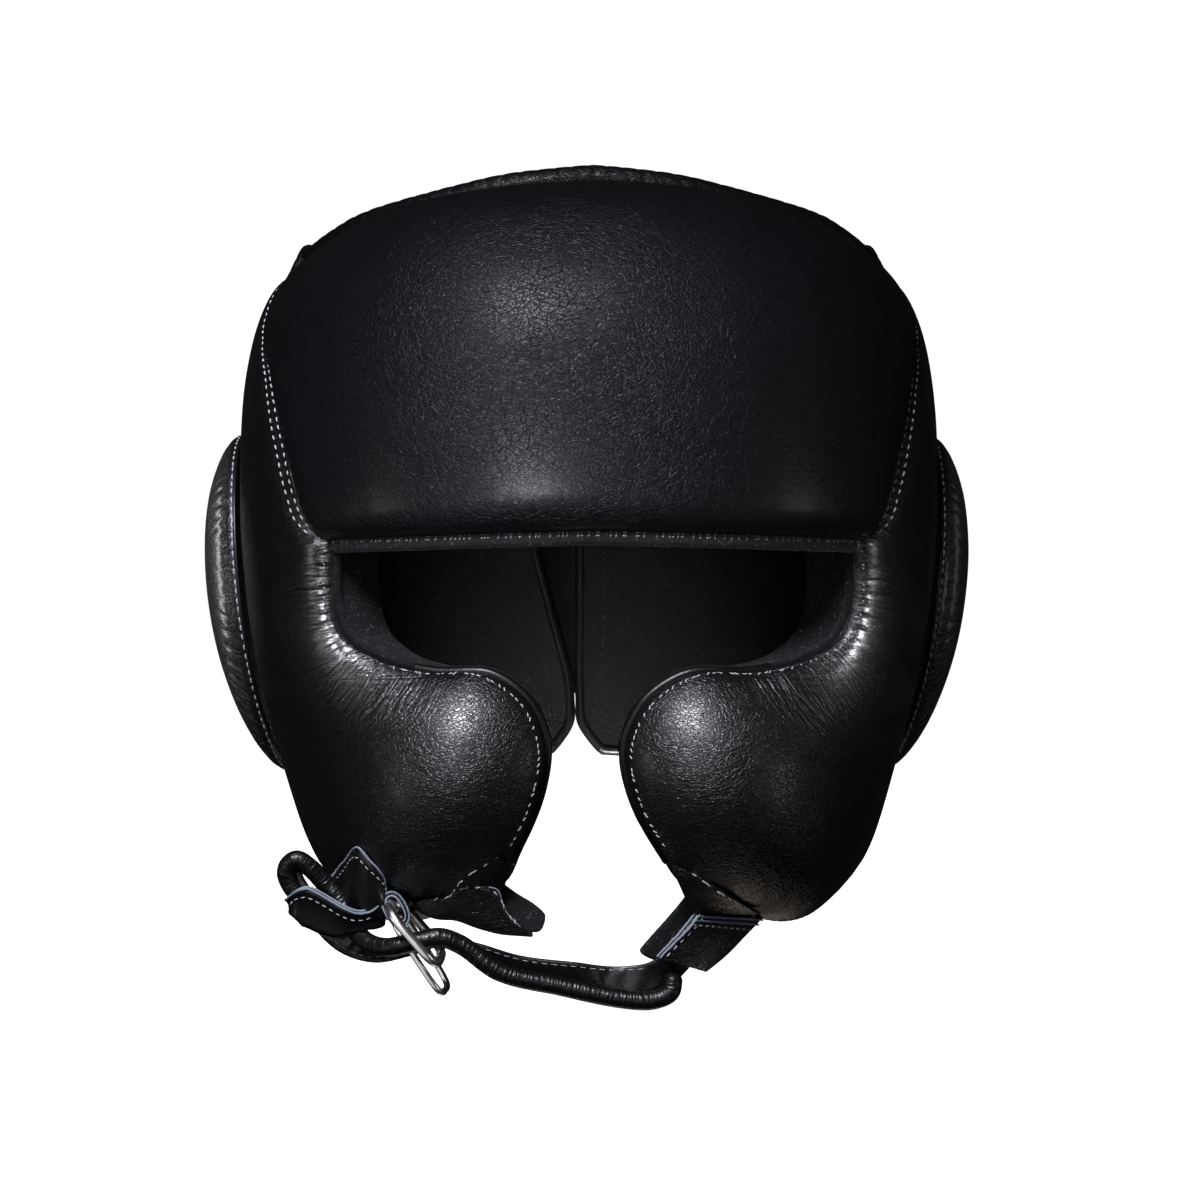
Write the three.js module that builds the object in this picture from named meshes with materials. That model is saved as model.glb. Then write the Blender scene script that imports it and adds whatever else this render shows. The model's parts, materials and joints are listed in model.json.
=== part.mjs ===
// Padded leather head guard, millimetres, +Z up, the face looks along -Y.
// The origin is the inside of the crown, where the top of the head bears.
import * as THREE from 'three';

// Head form that the pads wrap: half axes of the inner surface
const HALF_WIDTH = 86;
const FRONT_DEPTH = 99;
const BACK_DEPTH = 94;
const CROWN_RISE = 88;
const JAW_DROP = 152;
const JAW_REACH = 220;
const CROWN_POWER = 3;
const JAW_POWER = 2;
const PLAN_POWER = 2.3;

// Clearances between pieces
const LAYER_GAP = 0.8;
const SEAM_GAP_DEG = 0.36;

// Full thickness of the pads and of the thin lining
const FOREHEAD_FULL = 26;
const CHEEK_FULL = 25;
const BACK_FULL = 19;
const CROWN_FULL = 9;
const CROWN_RIM = 6;
const LINING_THIN = 2.5;

// Edges of the pads: thickness at the edge and the run over which the pad swells to full
const BROW_EDGE = { thick: 16, round: 15 };
const TOP_EDGE = { thick: 9, round: 46 };
const TOP_CORNER_THICK = 17;
const SEAM_EDGE = { thick: 21.5, round: 14 };
const CHEEK_TOP_EDGE = { thick: 19, rearThick: 11, round: 24 };
const CHEEK_REAR_EDGE = { thick: 19, round: 16 };
const CHEEK_BOTTOM_EDGE = { thick: 9.4, round: 29 };
const BACK_SIDE_EDGE = { thick: 16, round: 16 };
const BACK_INNER_EDGE = { thick: 7, round: 20 };
const BACK_TOP_EDGE = { thick: 11, round: 20 };
const BACK_BOTTOM_EDGE = { thick: 6, round: 20 };
const BROW_LINING = 12;

// Seam between forehead and side pad, from the brow corner to the top, in degrees on the form.
// middle is the elevation of the same line at the centre of the forehead.
const SEAM = [
  { az: 44.2, el: -6, middle: -4.2 },
  { az: 47, el: 0.4, middle: 4 },
  { az: 51, el: 9.6, middle: 15 },
  { az: 57.8, el: 20, middle: 28 },
  { az: 70, el: 29.3, middle: 42 },
  { az: 81, el: 38, middle: 55 },
];
const ROW_BEND = 1.6;
const SEAM_STEPS = [0, 0.07, 0.2, 0.4, 0.6, 0.8, 0.93, 1];

// Front edge of the side pad below the brow corner and the rear edge at the same row.
// thick and lining are the heights of pad and lining at the front edge, lean says how much of the
// sideways lean of the lobes a row takes.
const LOBE_LEAN = -1.7;
const CHEEK_ROWS = [
  { az: 43.2, el: -12.1, rearAz: 104, rearEl: -6, thick: 18, lining: 15.5, round: 18, lean: 0 },
  { az: 43, el: -17.4, rearAz: 104, rearEl: -12, thick: 18, lining: 15.5, round: 18, lean: 0 },
  { az: 41, el: -22, rearAz: 104, rearEl: -17, thick: 17, lining: 14, round: 18, lean: 0 },
  { az: 35.8, el: -25.3, rearAz: 104, rearEl: -22, thick: 14, lining: 10.5, round: 22, lean: 0.1 },
  { az: 26.6, el: -27.2, rearAz: 104, rearEl: -27, thick: 11, lining: 7, round: 26, lean: 0.3 },
  { az: 16.5, el: -27.6, rearAz: 103.5, rearEl: -32, thick: 9, lining: 4.5, round: 28, lean: 0.6 },
  { az: 9.8, el: -32, rearAz: 103, rearEl: -36.5, thick: 8, lining: 3.5, round: 28, lean: 0.8 },
  { az: 7, el: -38.4, rearAz: 101.5, rearEl: -41, thick: 8, lining: 3.5, round: 28, lean: 1 },
  { az: 8.4, el: -45, rearAz: 99, rearEl: -46, thick: 8, lining: 3.5, round: 28, lean: 1 },
  { az: 14.8, el: -53.5, rearAz: 95, rearEl: -51, thick: 8, lining: 3.5, round: 26, lean: 0.7 },
  { az: 22, el: -59.5, rearAz: 88, rearEl: -56.5, thick: 8.5, lining: 3.5, round: 26, lean: 0.2 },
  { az: 40, el: -63.5, rearAz: 77, rearEl: -61.5, thick: 9, lining: 3.5, round: 26, lean: 0 },
];
const CHEEK_REAR_AZ = 104;
const CHEEK_REAR_TOP = 39;
const CHEEK_COLUMNS = [0, 0.05, 0.13, 0.28, 0.48, 0.68, 0.85, 0.95, 1];
const FOREHEAD_COLUMNS = [-1, -0.95, -0.86, -0.68, -0.45, -0.22, 0, 0.22, 0.45, 0.68, 0.86, 0.95, 1];

// Back panels: inner edges of the right and the left panel, in degrees round from the front
const BACK_ROWS = [
  { el: 41, right: 180.4, left: 164 },
  { el: 36, right: 180.4, left: 164.4 },
  { el: 22, right: 180.4, left: 165.6 },
  { el: 5, right: 180.4, left: 167.2 },
  { el: -12, right: 180.4, left: 169.8 },
  { el: -28, right: 180.4, left: 173.8 },
  { el: -40, right: 180.4, left: 176.8 },
  { el: -46, right: 179.4, left: 176 },
  { el: -49.5, right: 175, left: 171.6 },
];
const BACK_COLUMNS = [0, 0.06, 0.18, 0.4, 0.62, 0.8, 0.93, 1];
const BACK_SIDE_BOTTOM = -50;
const GUSSET = { inner: 3, outer: 6, gap: 0.4, bottomEl: -40 };

// Ear cushions: centre and half spans on the form, and the dome
const EAR = { az: 108, el: -16.5, halfAz: 22, halfEl: 28, seat: 25.5, edge: 3.5, full: 13 };
const DOME_RINGS = [0.25, 0.5, 0.72, 0.87, 0.96, 1];
const EAR_SECTORS = 20;
const CROWN_SECTORS = 40;
const CROWN_RINGS = [0.2, 0.4, 0.6, 0.8, 0.94, 1];

// Rolls along the edges. The rows of the top binding run from its middle to its ends.
const BINDING = { radius: 4.3, spanAz: 92, steps: 30 };
const BINDING_ROWS = [
  { rise: 3, height: 13.9 },
  { rise: 3, height: 12.8 },
  { rise: 3, height: 11.5 },
  { rise: 3.6, height: 14.2 },
  { rise: 3.2, height: 20.5 },
];
const BROW_ROLL = { radius: 2.3, spanAz: 42.5, drop: 1.5, seat: 13, steps: 22 };
const ROLL_SIDES = 8;

// Wire rings: centre, long and short half sizes, wire radius, and the fall of the long side in degrees
const RINGS = [
  { name: 'ring_front', x: -53.1, y: -91, z: -215.1, long: 11.4, short: 12.5, wire: 1.7, tilt: -46 },
  { name: 'ring_rear', x: -51.7, y: -87.3, z: -222.1, long: 13.4, short: 6.6, wire: 1.3, tilt: -58 },
];
const RING_STEPS = 32;
const RING_SQUARENESS = 4;
const LOOP_STEPS = 16;

// Folded leather loop that holds the rings, as an outline in X and Z swept along Y
const RING_LOOP = {
  x: -59.6,
  z: -208.7,
  front: -91.6,
  rear: -83,
  halfWide: 3.9,
  halfTall: 6.7,
  wall: 1.3,
  tilt: 29,
  squareness: 2.6,
};

// Keeper: rim of the loop and, row by row, the run from the rim to its other end
const KEEPER_ROWS = [
  { x: -91.4, y: -83, z: -206.6, runX: 1, runY: 2, runZ: -3 },
  { x: -87, y: -86, z: -205, runX: 1, runY: 3, runZ: -8.6 },
  { x: -80.5, y: -89, z: -206.3, runX: -1.6, runY: 4, runZ: -11 },
  { x: -73, y: -90.6, z: -209.3, runX: -5, runY: 5, runZ: -9.6 },
  { x: -68.4, y: -89.6, z: -208.6, runX: -3, runY: 3, runZ: -3 },
  { x: -66, y: -87, z: -205, runX: -2.6, runY: 2, runZ: -3 },
  { x: -65.4, y: -84, z: -201, runX: -2.4, runY: 1, runZ: -3.4 },
  { x: -67, y: -79.8, z: -196.8, runX: -2.6, runY: 0.6, runZ: -5 },
  { x: -71.2, y: -75.9, z: -193.8, runX: -4, runY: 1, runZ: -7 },
  { x: -76, y: -74, z: -198.6, runX: -4, runY: 1, runZ: -8 },
  { x: -81, y: -73.6, z: -203.6, runX: -2.4, runY: 1.4, runZ: -7 },
  { x: -89.2, y: -75.8, z: -206.6, runX: -0.2, runY: 2, runZ: -5 },
];
const KEEPER_WALL = 1.6;

// Flat straps and flaps: two edges, row by row from the root to the end
const CHIN_FLAP_RIGHT = [
  { ax: 27.4, ay: -82.6, az: -206.4, bx: 50.6, by: -61.5, bz: -214.6 },
  { ax: 22.4, ay: -84.6, az: -212, bx: 45.6, by: -68.4, bz: -218.8 },
  { ax: 16.4, ay: -86, az: -218.4, bx: 39.6, by: -75.4, bz: -223.6 },
  { ax: 11.6, ay: -86.4, az: -224, bx: 34, by: -80, bz: -228.2 },
];
const SLEEVE_RIGHT = [
  { ax: 30.4, ay: -91, az: -210.4, bx: 51.4, by: -66.2, bz: -214.8 },
  { ax: 26.6, ay: -92.4, az: -215, bx: 45.4, by: -74, bz: -219.6 },
  { ax: 22.4, ay: -93.2, az: -219.2, bx: 39.4, by: -81, bz: -224.4 },
  { ax: 18.8, ay: -93.4, az: -223, bx: 33.4, by: -85.6, bz: -228.4 },
];
const CHIN_FLAP_LEFT = [
  { ax: -53.4, ay: -66, az: -214.6, bx: -29.2, by: -85.6, bz: -206.4 },
  { ax: -46.4, ay: -73, az: -217.4, bx: -25.6, by: -88, bz: -208.8 },
  { ax: -36.4, ay: -80.4, az: -218.2, bx: -21.4, by: -89.6, bz: -210.4 },
  { ax: -27.4, ay: -85.4, az: -218.2, bx: -18.4, by: -90.4, bz: -212.8 },
  { ax: -20.8, ay: -88.2, az: -217.6, bx: -17, by: -90.8, bz: -214.8 },
];
const FLAP_LINING_LEFT = [
  { ax: -31, ay: -78, az: -213, bx: -23.6, by: -83.4, bz: -204 },
  { ax: -26, ay: -81.8, az: -214.4, bx: -18.8, by: -85.8, bz: -205.8 },
  { ax: -21.4, ay: -84.2, az: -215, bx: -15.2, by: -87.2, bz: -208.2 },
  { ax: -17.8, ay: -85.8, az: -214.8, bx: -13.8, by: -87.6, bz: -211 },
];
const STRAP_BAND = [
  { ax: 23.6, ay: -88.2, az: -215.6, bx: 33, by: -82.8, bz: -219.6 },
  { ax: 21.4, ay: -88.8, az: -220, bx: 30, by: -84.8, bz: -225 },
  { ax: 17.6, ay: -88.6, az: -224.4, bx: 23.4, by: -86.6, bz: -231.6 },
  { ax: 8.6, ay: -86.6, az: -226.4, bx: 11.4, by: -88.4, bz: -235 },
  { ax: -6, ay: -84, az: -225, bx: -6, by: -89, bz: -232.2 },
  { ax: -22, ay: -84, az: -223, bx: -22, by: -88.6, bz: -229.4 },
  { ax: -36, ay: -85.4, az: -218.8, bx: -36.4, by: -89.6, bz: -223.8 },
  { ax: -45.6, ay: -84.4, az: -217.4, bx: -45.8, by: -90.4, bz: -219.7 },
  { ax: -54.6, ay: -84, az: -219.4, bx: -55, by: -90.2, bz: -222.4 },
  { ax: -64, ay: -82.6, az: -220.4, bx: -66, by: -84.4, bz: -225.4 },
  { ax: -72, ay: -79.6, az: -217, bx: -76, by: -80, bz: -223 },
  { ax: -79, ay: -78.4, az: -211.4, bx: -83.6, by: -79.2, bz: -216 },
  { ax: -84.4, ay: -79.8, az: -203.8, bx: -88.2, by: -80.2, bz: -206.6 },
  { ax: -88.4, ay: -80.4, az: -200.8, bx: -92.4, by: -80.4, bz: -202.2 },
];
const STRAP_TAIL = [
  { x: 23.4, y: -92, z: -229.6 },
  { x: 22.4, y: -92.4, z: -233.4 },
  { x: 17.4, y: -93, z: -235.6 },
  { x: 7.6, y: -94, z: -235 },
  { x: -10.3, y: -95, z: -231.1 },
  { x: -28.1, y: -96.4, z: -226.6 },
  { x: -39.6, y: -97.4, z: -218.4 },
  { x: -46, y: -98.5, z: -216 },
  { x: -53.4, y: -98.5, z: -217.4 },
  { x: -61, y: -95.6, z: -219.2 },
  { x: -67, y: -89.4, z: -218.8 },
  { x: -71.2, y: -84.2, z: -215.6 },
  { x: -74.6, y: -81.4, z: -209.4 },
  { x: -79.6, y: -80.8, z: -203 },
  { x: -85, y: -82, z: -197 },
  { x: -88.6, y: -82.4, z: -194.8 },
  { x: -91, y: -81.4, z: -196.4 },
  { x: -91.8, y: -80.6, z: -199 },
];
const FLAP_THICK = 3.2;
const SLEEVE_THICK = 1.9;
const BAND_THICK = 1.8;
const TAIL_RADIUS = 2.6;
const TAIL_STEPS = 56;

// Finishes
const LEATHER = { color: 0x141416, roughness: 0.42, metalness: 0 };
const SUEDE = { color: 0x35363b, roughness: 0.95, metalness: 0 };
const STEEL = { color: 0xc9cacc, roughness: 0.22, metalness: 1 };

const DEG = Math.PI / 180;

// Sections of the jaw keep more depth than width on the way down
function jawStretch(z) {
  if (z >= 0) return 1;
  return Math.sqrt((1 - (z / JAW_REACH) ** 2) / (1 - (z / JAW_DROP) ** 2));
}

// Level function of the form: 1 on the inner surface, z counted from the form's centre
function formLevel(x, y, z) {
  const depth = y / jawStretch(z);
  const across = Math.abs(x / HALF_WIDTH) ** PLAN_POWER;
  const along = Math.abs(depth / (depth < 0 ? FRONT_DEPTH : BACK_DEPTH)) ** PLAN_POWER;
  const plan = (across + along) ** (1 / PLAN_POWER);
  if (z > 0) return plan ** CROWN_POWER + (z / CROWN_RISE) ** CROWN_POWER;
  return plan ** JAW_POWER + Math.abs(z / JAW_DROP) ** JAW_POWER;
}

// Point of the form in a direction, azimuth 0 at the face and growing towards +X
function formPoint(azimuth, elevation) {
  const az = azimuth * DEG;
  const el = elevation * DEG;
  const across = (Math.cos(el) * Math.sin(az)) / HALF_WIDTH;
  const along = (Math.cos(el) * Math.cos(az)) / (Math.cos(az) > 0 ? FRONT_DEPTH : BACK_DEPTH);
  const plan = (Math.abs(across) ** PLAN_POWER + Math.abs(along) ** PLAN_POWER) ** (1 / PLAN_POWER);
  const power = el > 0 ? CROWN_POWER : JAW_POWER;
  const up = Math.abs(Math.sin(el)) / (el > 0 ? CROWN_RISE : JAW_DROP);
  const reach = (plan ** power + up ** power) ** (-1 / power);
  const z = reach * Math.sin(el);
  const y = -reach * Math.cos(el) * Math.cos(az) * jawStretch(z);
  return new THREE.Vector3(reach * Math.cos(el) * Math.sin(az), y, z);
}

function formNormal(point) {
  const h = 0.05;
  const { x, y, z } = point;
  const gx = formLevel(x + h, y, z) - formLevel(x - h, y, z);
  const gy = formLevel(x, y + h, z) - formLevel(x, y - h, z);
  const gz = formLevel(x, y, z + h) - formLevel(x, y, z - h);
  return new THREE.Vector3(gx, gy, gz).normalize();
}

// Point a given height above the form, in the part's frame
function above(azimuth, elevation, height) {
  const base = formPoint(azimuth, elevation);
  const point = base.clone().addScaledVector(formNormal(base), height);
  point.z -= CROWN_RISE;
  return point;
}

// Value of named columns between the rows of a table, on a smooth curve
function between(table, t, column) {
  const span = Math.min(Math.floor(t * (table.length - 1)), table.length - 2);
  const f = t * (table.length - 1) - span;
  const at = (i) => table[Math.max(0, Math.min(table.length - 1, i))][column];
  const [a, b, c, d] = [at(span - 1), at(span), at(span + 1), at(span + 2)];
  const bend = (2 * a - 5 * b + 4 * c - d) * f * f + (3 * b - a - 3 * c + d) * f * f * f;
  return b + 0.5 * ((c - a) * f + bend);
}

// Height of a pad at a distance from an edge
function swell(distance, edge, full) {
  const t = Math.min(distance / edge.round, 1);
  return edge.thick + (full - edge.thick) * Math.sqrt(1 - (1 - t) ** 2);
}

// Geometry from points and triangles, turned so that its faces point out
function closedGeometry(points, triangles) {
  let volume = 0;
  for (const [a, b, c] of triangles) {
    volume += points[a].dot(new THREE.Vector3().crossVectors(points[b], points[c]));
  }
  const faces = volume > 0 ? triangles : triangles.map(([a, b, c]) => [a, c, b]);
  const geometry = new THREE.BufferGeometry();
  geometry.setFromPoints(points);
  geometry.setIndex(faces.flat());
  geometry.computeVertexNormals();
  return geometry;
}

// Quad strip between two rings or rows of vertex numbers, with one diagonal for both ways round
function bridge(triangles, first, second, closed, flipped = false) {
  const count = closed ? first.length : first.length - 1;
  for (let k = 0; k < count; k += 1) {
    const next = (k + 1) % first.length;
    const pair = [[first[k], second[k], second[next]], [first[k], second[next], first[next]]];
    triangles.push(...(flipped ? pair.map(([a, b, c]) => [a, c, b]) : pair));
  }
}

// Solid between two heights over a grid of directions, cells[row][column] = { az, el, inner, outer }
function layerSolid(cells) {
  const points = [];
  const number = (cell, height) => points.push(above(cell.az, cell.el, cell[height])) - 1;
  const inner = cells.map((row) => row.map((cell) => number(cell, 'inner')));
  const outer = cells.map((row) => row.map((cell) => number(cell, 'outer')));
  const triangles = [];
  const last = cells.length - 1;
  const end = cells[0].length - 1;
  for (let i = 0; i < last; i += 1) {
    bridge(triangles, outer[i], outer[i + 1], false);
    bridge(triangles, inner[i], inner[i + 1], false, true);
  }
  bridge(triangles, inner[0], outer[0], false);
  bridge(triangles, outer[last], inner[last], false);
  bridge(triangles, outer.map((row) => row[0]), inner.map((row) => row[0]), false);
  bridge(triangles, inner.map((row) => row[end]), outer.map((row) => row[end]), false);
  return closedGeometry(points, triangles);
}

// Distances of each grid point to the four sides of its grid, along the form
function withDistances(cells) {
  const base = cells.map((row) => row.map((cell) => formPoint(cell.az, cell.el)));
  const rows = cells.length;
  const columns = cells[0].length;
  const run = (count, step) => {
    const sums = [0];
    for (let k = 1; k < count; k += 1) sums.push(sums[k - 1] + step(k));
    return sums;
  };
  const alongRow = base.map((row) => run(columns, (k) => row[k].distanceTo(row[k - 1])));
  const alongColumn = base[0].map((_, j) => run(rows, (k) => base[k][j].distanceTo(base[k - 1][j])));
  return cells.map((row, i) => row.map((cell, j) => ({
    ...cell,
    front: alongRow[i][j],
    rear: alongRow[i][columns - 1] - alongRow[i][j],
    top: alongColumn[j][i],
    bottom: alongColumn[j][rows - 1] - alongColumn[j][i],
  })));
}

// Two layers over one grid: lining next to the head, pad outside it
function padAndLining(cells) {
  const lining = cells.map((row) => row.map((cell) => ({
    ...cell,
    inner: 0,
    outer: cell.split - LAYER_GAP / 2,
  })));
  const pad = cells.map((row) => row.map((cell) => ({
    ...cell,
    inner: cell.split + LAYER_GAP / 2,
    outer: cell.thick,
  })));
  return { lining: layerSolid(lining), pad: layerSolid(pad) };
}

function seamAt(t) {
  return { az: between(SEAM, t, 'az'), el: between(SEAM, t, 'el'), middle: between(SEAM, t, 'middle') };
}

function foreheadLayers() {
  const grid = [...SEAM_STEPS].reverse().map((t) => {
    const seam = seamAt(t);
    const reach = seam.az - SEAM_GAP_DEG;
    return FOREHEAD_COLUMNS.map((u) => ({
      az: u * reach,
      el: seam.middle + (seam.el - seam.middle) * Math.abs(u) ** ROW_BEND,
    }));
  });
  const cells = withDistances(grid).map((row) => row.map((cell) => {
    const side = Math.min(cell.front, cell.rear);
    const along = Math.abs(cell.az) / SEAM[SEAM.length - 1].az;
    const topThick = TOP_EDGE.thick + (TOP_CORNER_THICK - TOP_EDGE.thick) * along * along;
    const thick = Math.min(
      swell(cell.bottom, BROW_EDGE, FOREHEAD_FULL),
      swell(cell.top, { ...TOP_EDGE, thick: topThick }, FOREHEAD_FULL),
      swell(side, SEAM_EDGE, FOREHEAD_FULL),
    );
    const wrap = Math.max(0, 1 - cell.bottom / BROW_EDGE.round);
    return { ...cell, thick, split: LINING_THIN + (BROW_LINING - LINING_THIN) * wrap };
  }));
  return padAndLining(cells);
}

// Rows of a side pad: the seam from the top down, then the eye corner and the lobe
function cheekEdges() {
  const seamRows = [...SEAM_STEPS].reverse().map((t) => {
    const seam = seamAt(t);
    return {
      az: seam.az + SEAM_GAP_DEG,
      el: seam.el,
      rearAz: CHEEK_REAR_AZ,
      rearEl: CHEEK_REAR_TOP * t,
      ...SEAM_EDGE,
      lining: LINING_THIN,
      lean: 0,
    };
  });
  return [...seamRows, ...CHEEK_ROWS];
}

function cheekLayers(side) {
  const edges = cheekEdges();
  const grid = edges.map((edge) => {
    const start = edge.az + side * LOBE_LEAN * edge.lean;
    return CHEEK_COLUMNS.map((u) => ({
      az: side * (start + (edge.rearAz - start) * u),
      el: edge.el + (edge.rearEl - edge.el) * u,
      edge,
      u,
    }));
  });
  const cells = withDistances(grid).map((row) => row.map((cell) => {
    const { edge, u } = cell;
    const topThick = CHEEK_TOP_EDGE.thick + (CHEEK_TOP_EDGE.rearThick - CHEEK_TOP_EDGE.thick) * u;
    const thick = Math.min(
      swell(cell.front, edge, CHEEK_FULL),
      swell(cell.rear, CHEEK_REAR_EDGE, CHEEK_FULL),
      swell(cell.top, { ...CHEEK_TOP_EDGE, thick: topThick }, CHEEK_FULL),
      swell(cell.bottom, CHEEK_BOTTOM_EDGE, CHEEK_FULL),
    );
    const wrap = Math.max(0, 1 - cell.front / edge.round);
    return { ...cell, thick, split: LINING_THIN + (edge.lining - LINING_THIN) * wrap };
  }));
  return padAndLining(cells);
}

function backLayers(side) {
  const inner = side > 0 ? 'right' : 'left';
  const start = CHEEK_REAR_AZ + 2 * SEAM_GAP_DEG;
  const last = BACK_ROWS.length - 1;
  const grid = BACK_ROWS.map((row, i) => BACK_COLUMNS.map((u) => {
    const sideEl = i === last ? BACK_SIDE_BOTTOM : row.el;
    return { az: side * (start + (row[inner] - start) * u), el: sideEl + (row.el - sideEl) * u };
  }));
  const cells = withDistances(grid).map((row) => row.map((cell) => {
    const thick = Math.min(
      swell(cell.front, BACK_SIDE_EDGE, BACK_FULL),
      swell(cell.rear, BACK_INNER_EDGE, BACK_FULL),
      swell(cell.top, BACK_TOP_EDGE, BACK_FULL),
      swell(cell.bottom, BACK_BOTTOM_EDGE, BACK_FULL),
    );
    return { ...cell, thick, split: LINING_THIN };
  }));
  return padAndLining(cells);
}

// Leather between the inner edges of the back panels, row by row with them
function gussetGeometry() {
  const rows = BACK_ROWS.filter((row) => row.el >= GUSSET.bottomEl);
  const cells = rows.map((row) => {
    const from = row.right + GUSSET.gap;
    const to = 360 - row.left - GUSSET.gap;
    return [0, 0.5, 1].map((u) => ({
      az: from + (to - from) * u,
      el: row.el,
      inner: GUSSET.inner,
      outer: GUSSET.outer,
    }));
  });
  return layerSolid(cells);
}

// Lens or cap over the form: rings round a middle, at(r, angle) = { az, el, inner, outer }
function domeSolid(rings, sectors, at) {
  const points = [];
  const number = (cell, height) => points.push(above(cell.az, cell.el, cell[height])) - 1;
  const triangles = [];
  const rims = {};
  for (const height of ['outer', 'inner']) {
    const middle = number(at(0, 0), height);
    let previous = null;
    for (const r of rings) {
      const ring = [];
      for (let k = 0; k < sectors; k += 1) ring.push(number(at(r, (k / sectors) * 360), height));
      const flipped = height === 'inner';
      if (previous) {
        bridge(triangles, previous, ring, true, flipped);
      } else {
        ring.forEach((vertex, k) => {
          const next = ring[(k + 1) % sectors];
          triangles.push(flipped ? [middle, next, vertex] : [middle, vertex, next]);
        });
      }
      previous = ring;
    }
    rims[height] = previous;
  }
  bridge(triangles, rims.outer, rims.inner, true);
  return closedGeometry(points, triangles);
}

function earGeometry(side) {
  return domeSolid(DOME_RINGS, EAR_SECTORS, (r, angle) => ({
    az: side * (EAR.az + r * EAR.halfAz * Math.cos(angle * DEG)),
    el: EAR.el + r * EAR.halfEl * Math.sin(angle * DEG),
    inner: EAR.seat,
    outer: EAR.seat + EAR.edge + (EAR.full - EAR.edge) * Math.sqrt(1 - r ** 3),
  }));
}

// Elevation of the rim where the crown meets the pads
function rimElevation(azimuth) {
  const top = SEAM[SEAM.length - 1];
  const az = Math.abs(azimuth > 180 ? azimuth - 360 : azimuth);
  if (az <= top.az) return top.middle + (top.el - top.middle) * (az / top.az) ** ROW_BEND;
  const past = (az - top.az) / (CHEEK_REAR_AZ - top.az);
  if (past <= 1) return top.el + (CHEEK_REAR_TOP - top.el) * past;
  return BACK_ROWS[0].el;
}

function crownGeometry() {
  const rimGapDeg = 1.2;
  return domeSolid(CROWN_RINGS, CROWN_SECTORS, (r, angle) => ({
    az: angle,
    el: 90 - r * (90 - rimElevation(angle) - rimGapDeg),
    inner: 0,
    outer: CROWN_RIM + (CROWN_FULL - CROWN_RIM) * (1 - r ** 4),
  }));
}

// Round roll along a curve, closed at both ends
function rollGeometry(points, radius, steps) {
  const circle = new THREE.Shape();
  for (let k = 0; k < ROLL_SIDES; k += 1) {
    const angle = (k / ROLL_SIDES) * 2 * Math.PI;
    const [x, y] = [radius * Math.cos(angle), radius * Math.sin(angle)];
    if (k === 0) circle.moveTo(x, y);
    else circle.lineTo(x, y);
  }
  circle.closePath();
  const path = new THREE.CatmullRomCurve3(points, false, 'centripetal');
  return new THREE.ExtrudeGeometry(circle, { steps, extrudePath: path });
}

function bindingGeometry() {
  const points = [];
  for (let k = 0; k <= BINDING.steps; k += 1) {
    const u = (2 * k) / BINDING.steps - 1;
    const az = u * BINDING.spanAz;
    const rise = between(BINDING_ROWS, Math.abs(u), 'rise');
    points.push(above(az, rimElevation(az) + rise, between(BINDING_ROWS, Math.abs(u), 'height')));
  }
  return rollGeometry(points, BINDING.radius, BINDING.steps);
}

function browRollGeometry() {
  const brow = SEAM[0];
  const points = [];
  for (let k = 0; k <= BROW_ROLL.steps; k += 1) {
    const u = (2 * k) / BROW_ROLL.steps - 1;
    const az = u * BROW_ROLL.spanAz;
    const edge = brow.middle + (brow.el - brow.middle) * Math.abs(az / brow.az) ** ROW_BEND;
    points.push(above(az, edge - BROW_ROLL.drop, BROW_ROLL.seat));
  }
  return rollGeometry(points, BROW_ROLL.radius, BROW_ROLL.steps);
}

// Flat strip between two edges, with rounded sides
function stripGeometry(rows, thickness) {
  const round = 0.86;
  const upper = [[-1, 0], [-round, 0.5], [0, 0.5], [round, 0.5]];
  const section = [...upper, ...upper.map(([u, v]) => [-u, -v])];
  const middles = rows.map((row) => {
    const sum = new THREE.Vector3(row.ax + row.bx, row.ay + row.by, row.az + row.bz);
    return sum.multiplyScalar(0.5);
  });
  const points = [];
  const rings = rows.map((row, i) => {
    const half = new THREE.Vector3(row.bx - row.ax, row.by - row.ay, row.bz - row.az).multiplyScalar(0.5);
    const before = middles[Math.max(0, i - 1)];
    const after = middles[Math.min(rows.length - 1, i + 1)];
    const normal = new THREE.Vector3().crossVectors(after.clone().sub(before), half).normalize();
    return section.map(([u, v]) => {
      const point = middles[i].clone().addScaledVector(half, u).addScaledVector(normal, v * thickness);
      return points.push(point) - 1;
    });
  });
  const triangles = [];
  for (let i = 0; i + 1 < rings.length; i += 1) bridge(triangles, rings[i], rings[i + 1], true);
  const first = rings[0];
  const last = rings[rings.length - 1];
  for (let k = 1; k + 1 < section.length; k += 1) {
    triangles.push([first[0], first[k], first[k + 1]], [last[0], last[k + 1], last[k]]);
  }
  return closedGeometry(points, triangles);
}

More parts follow.
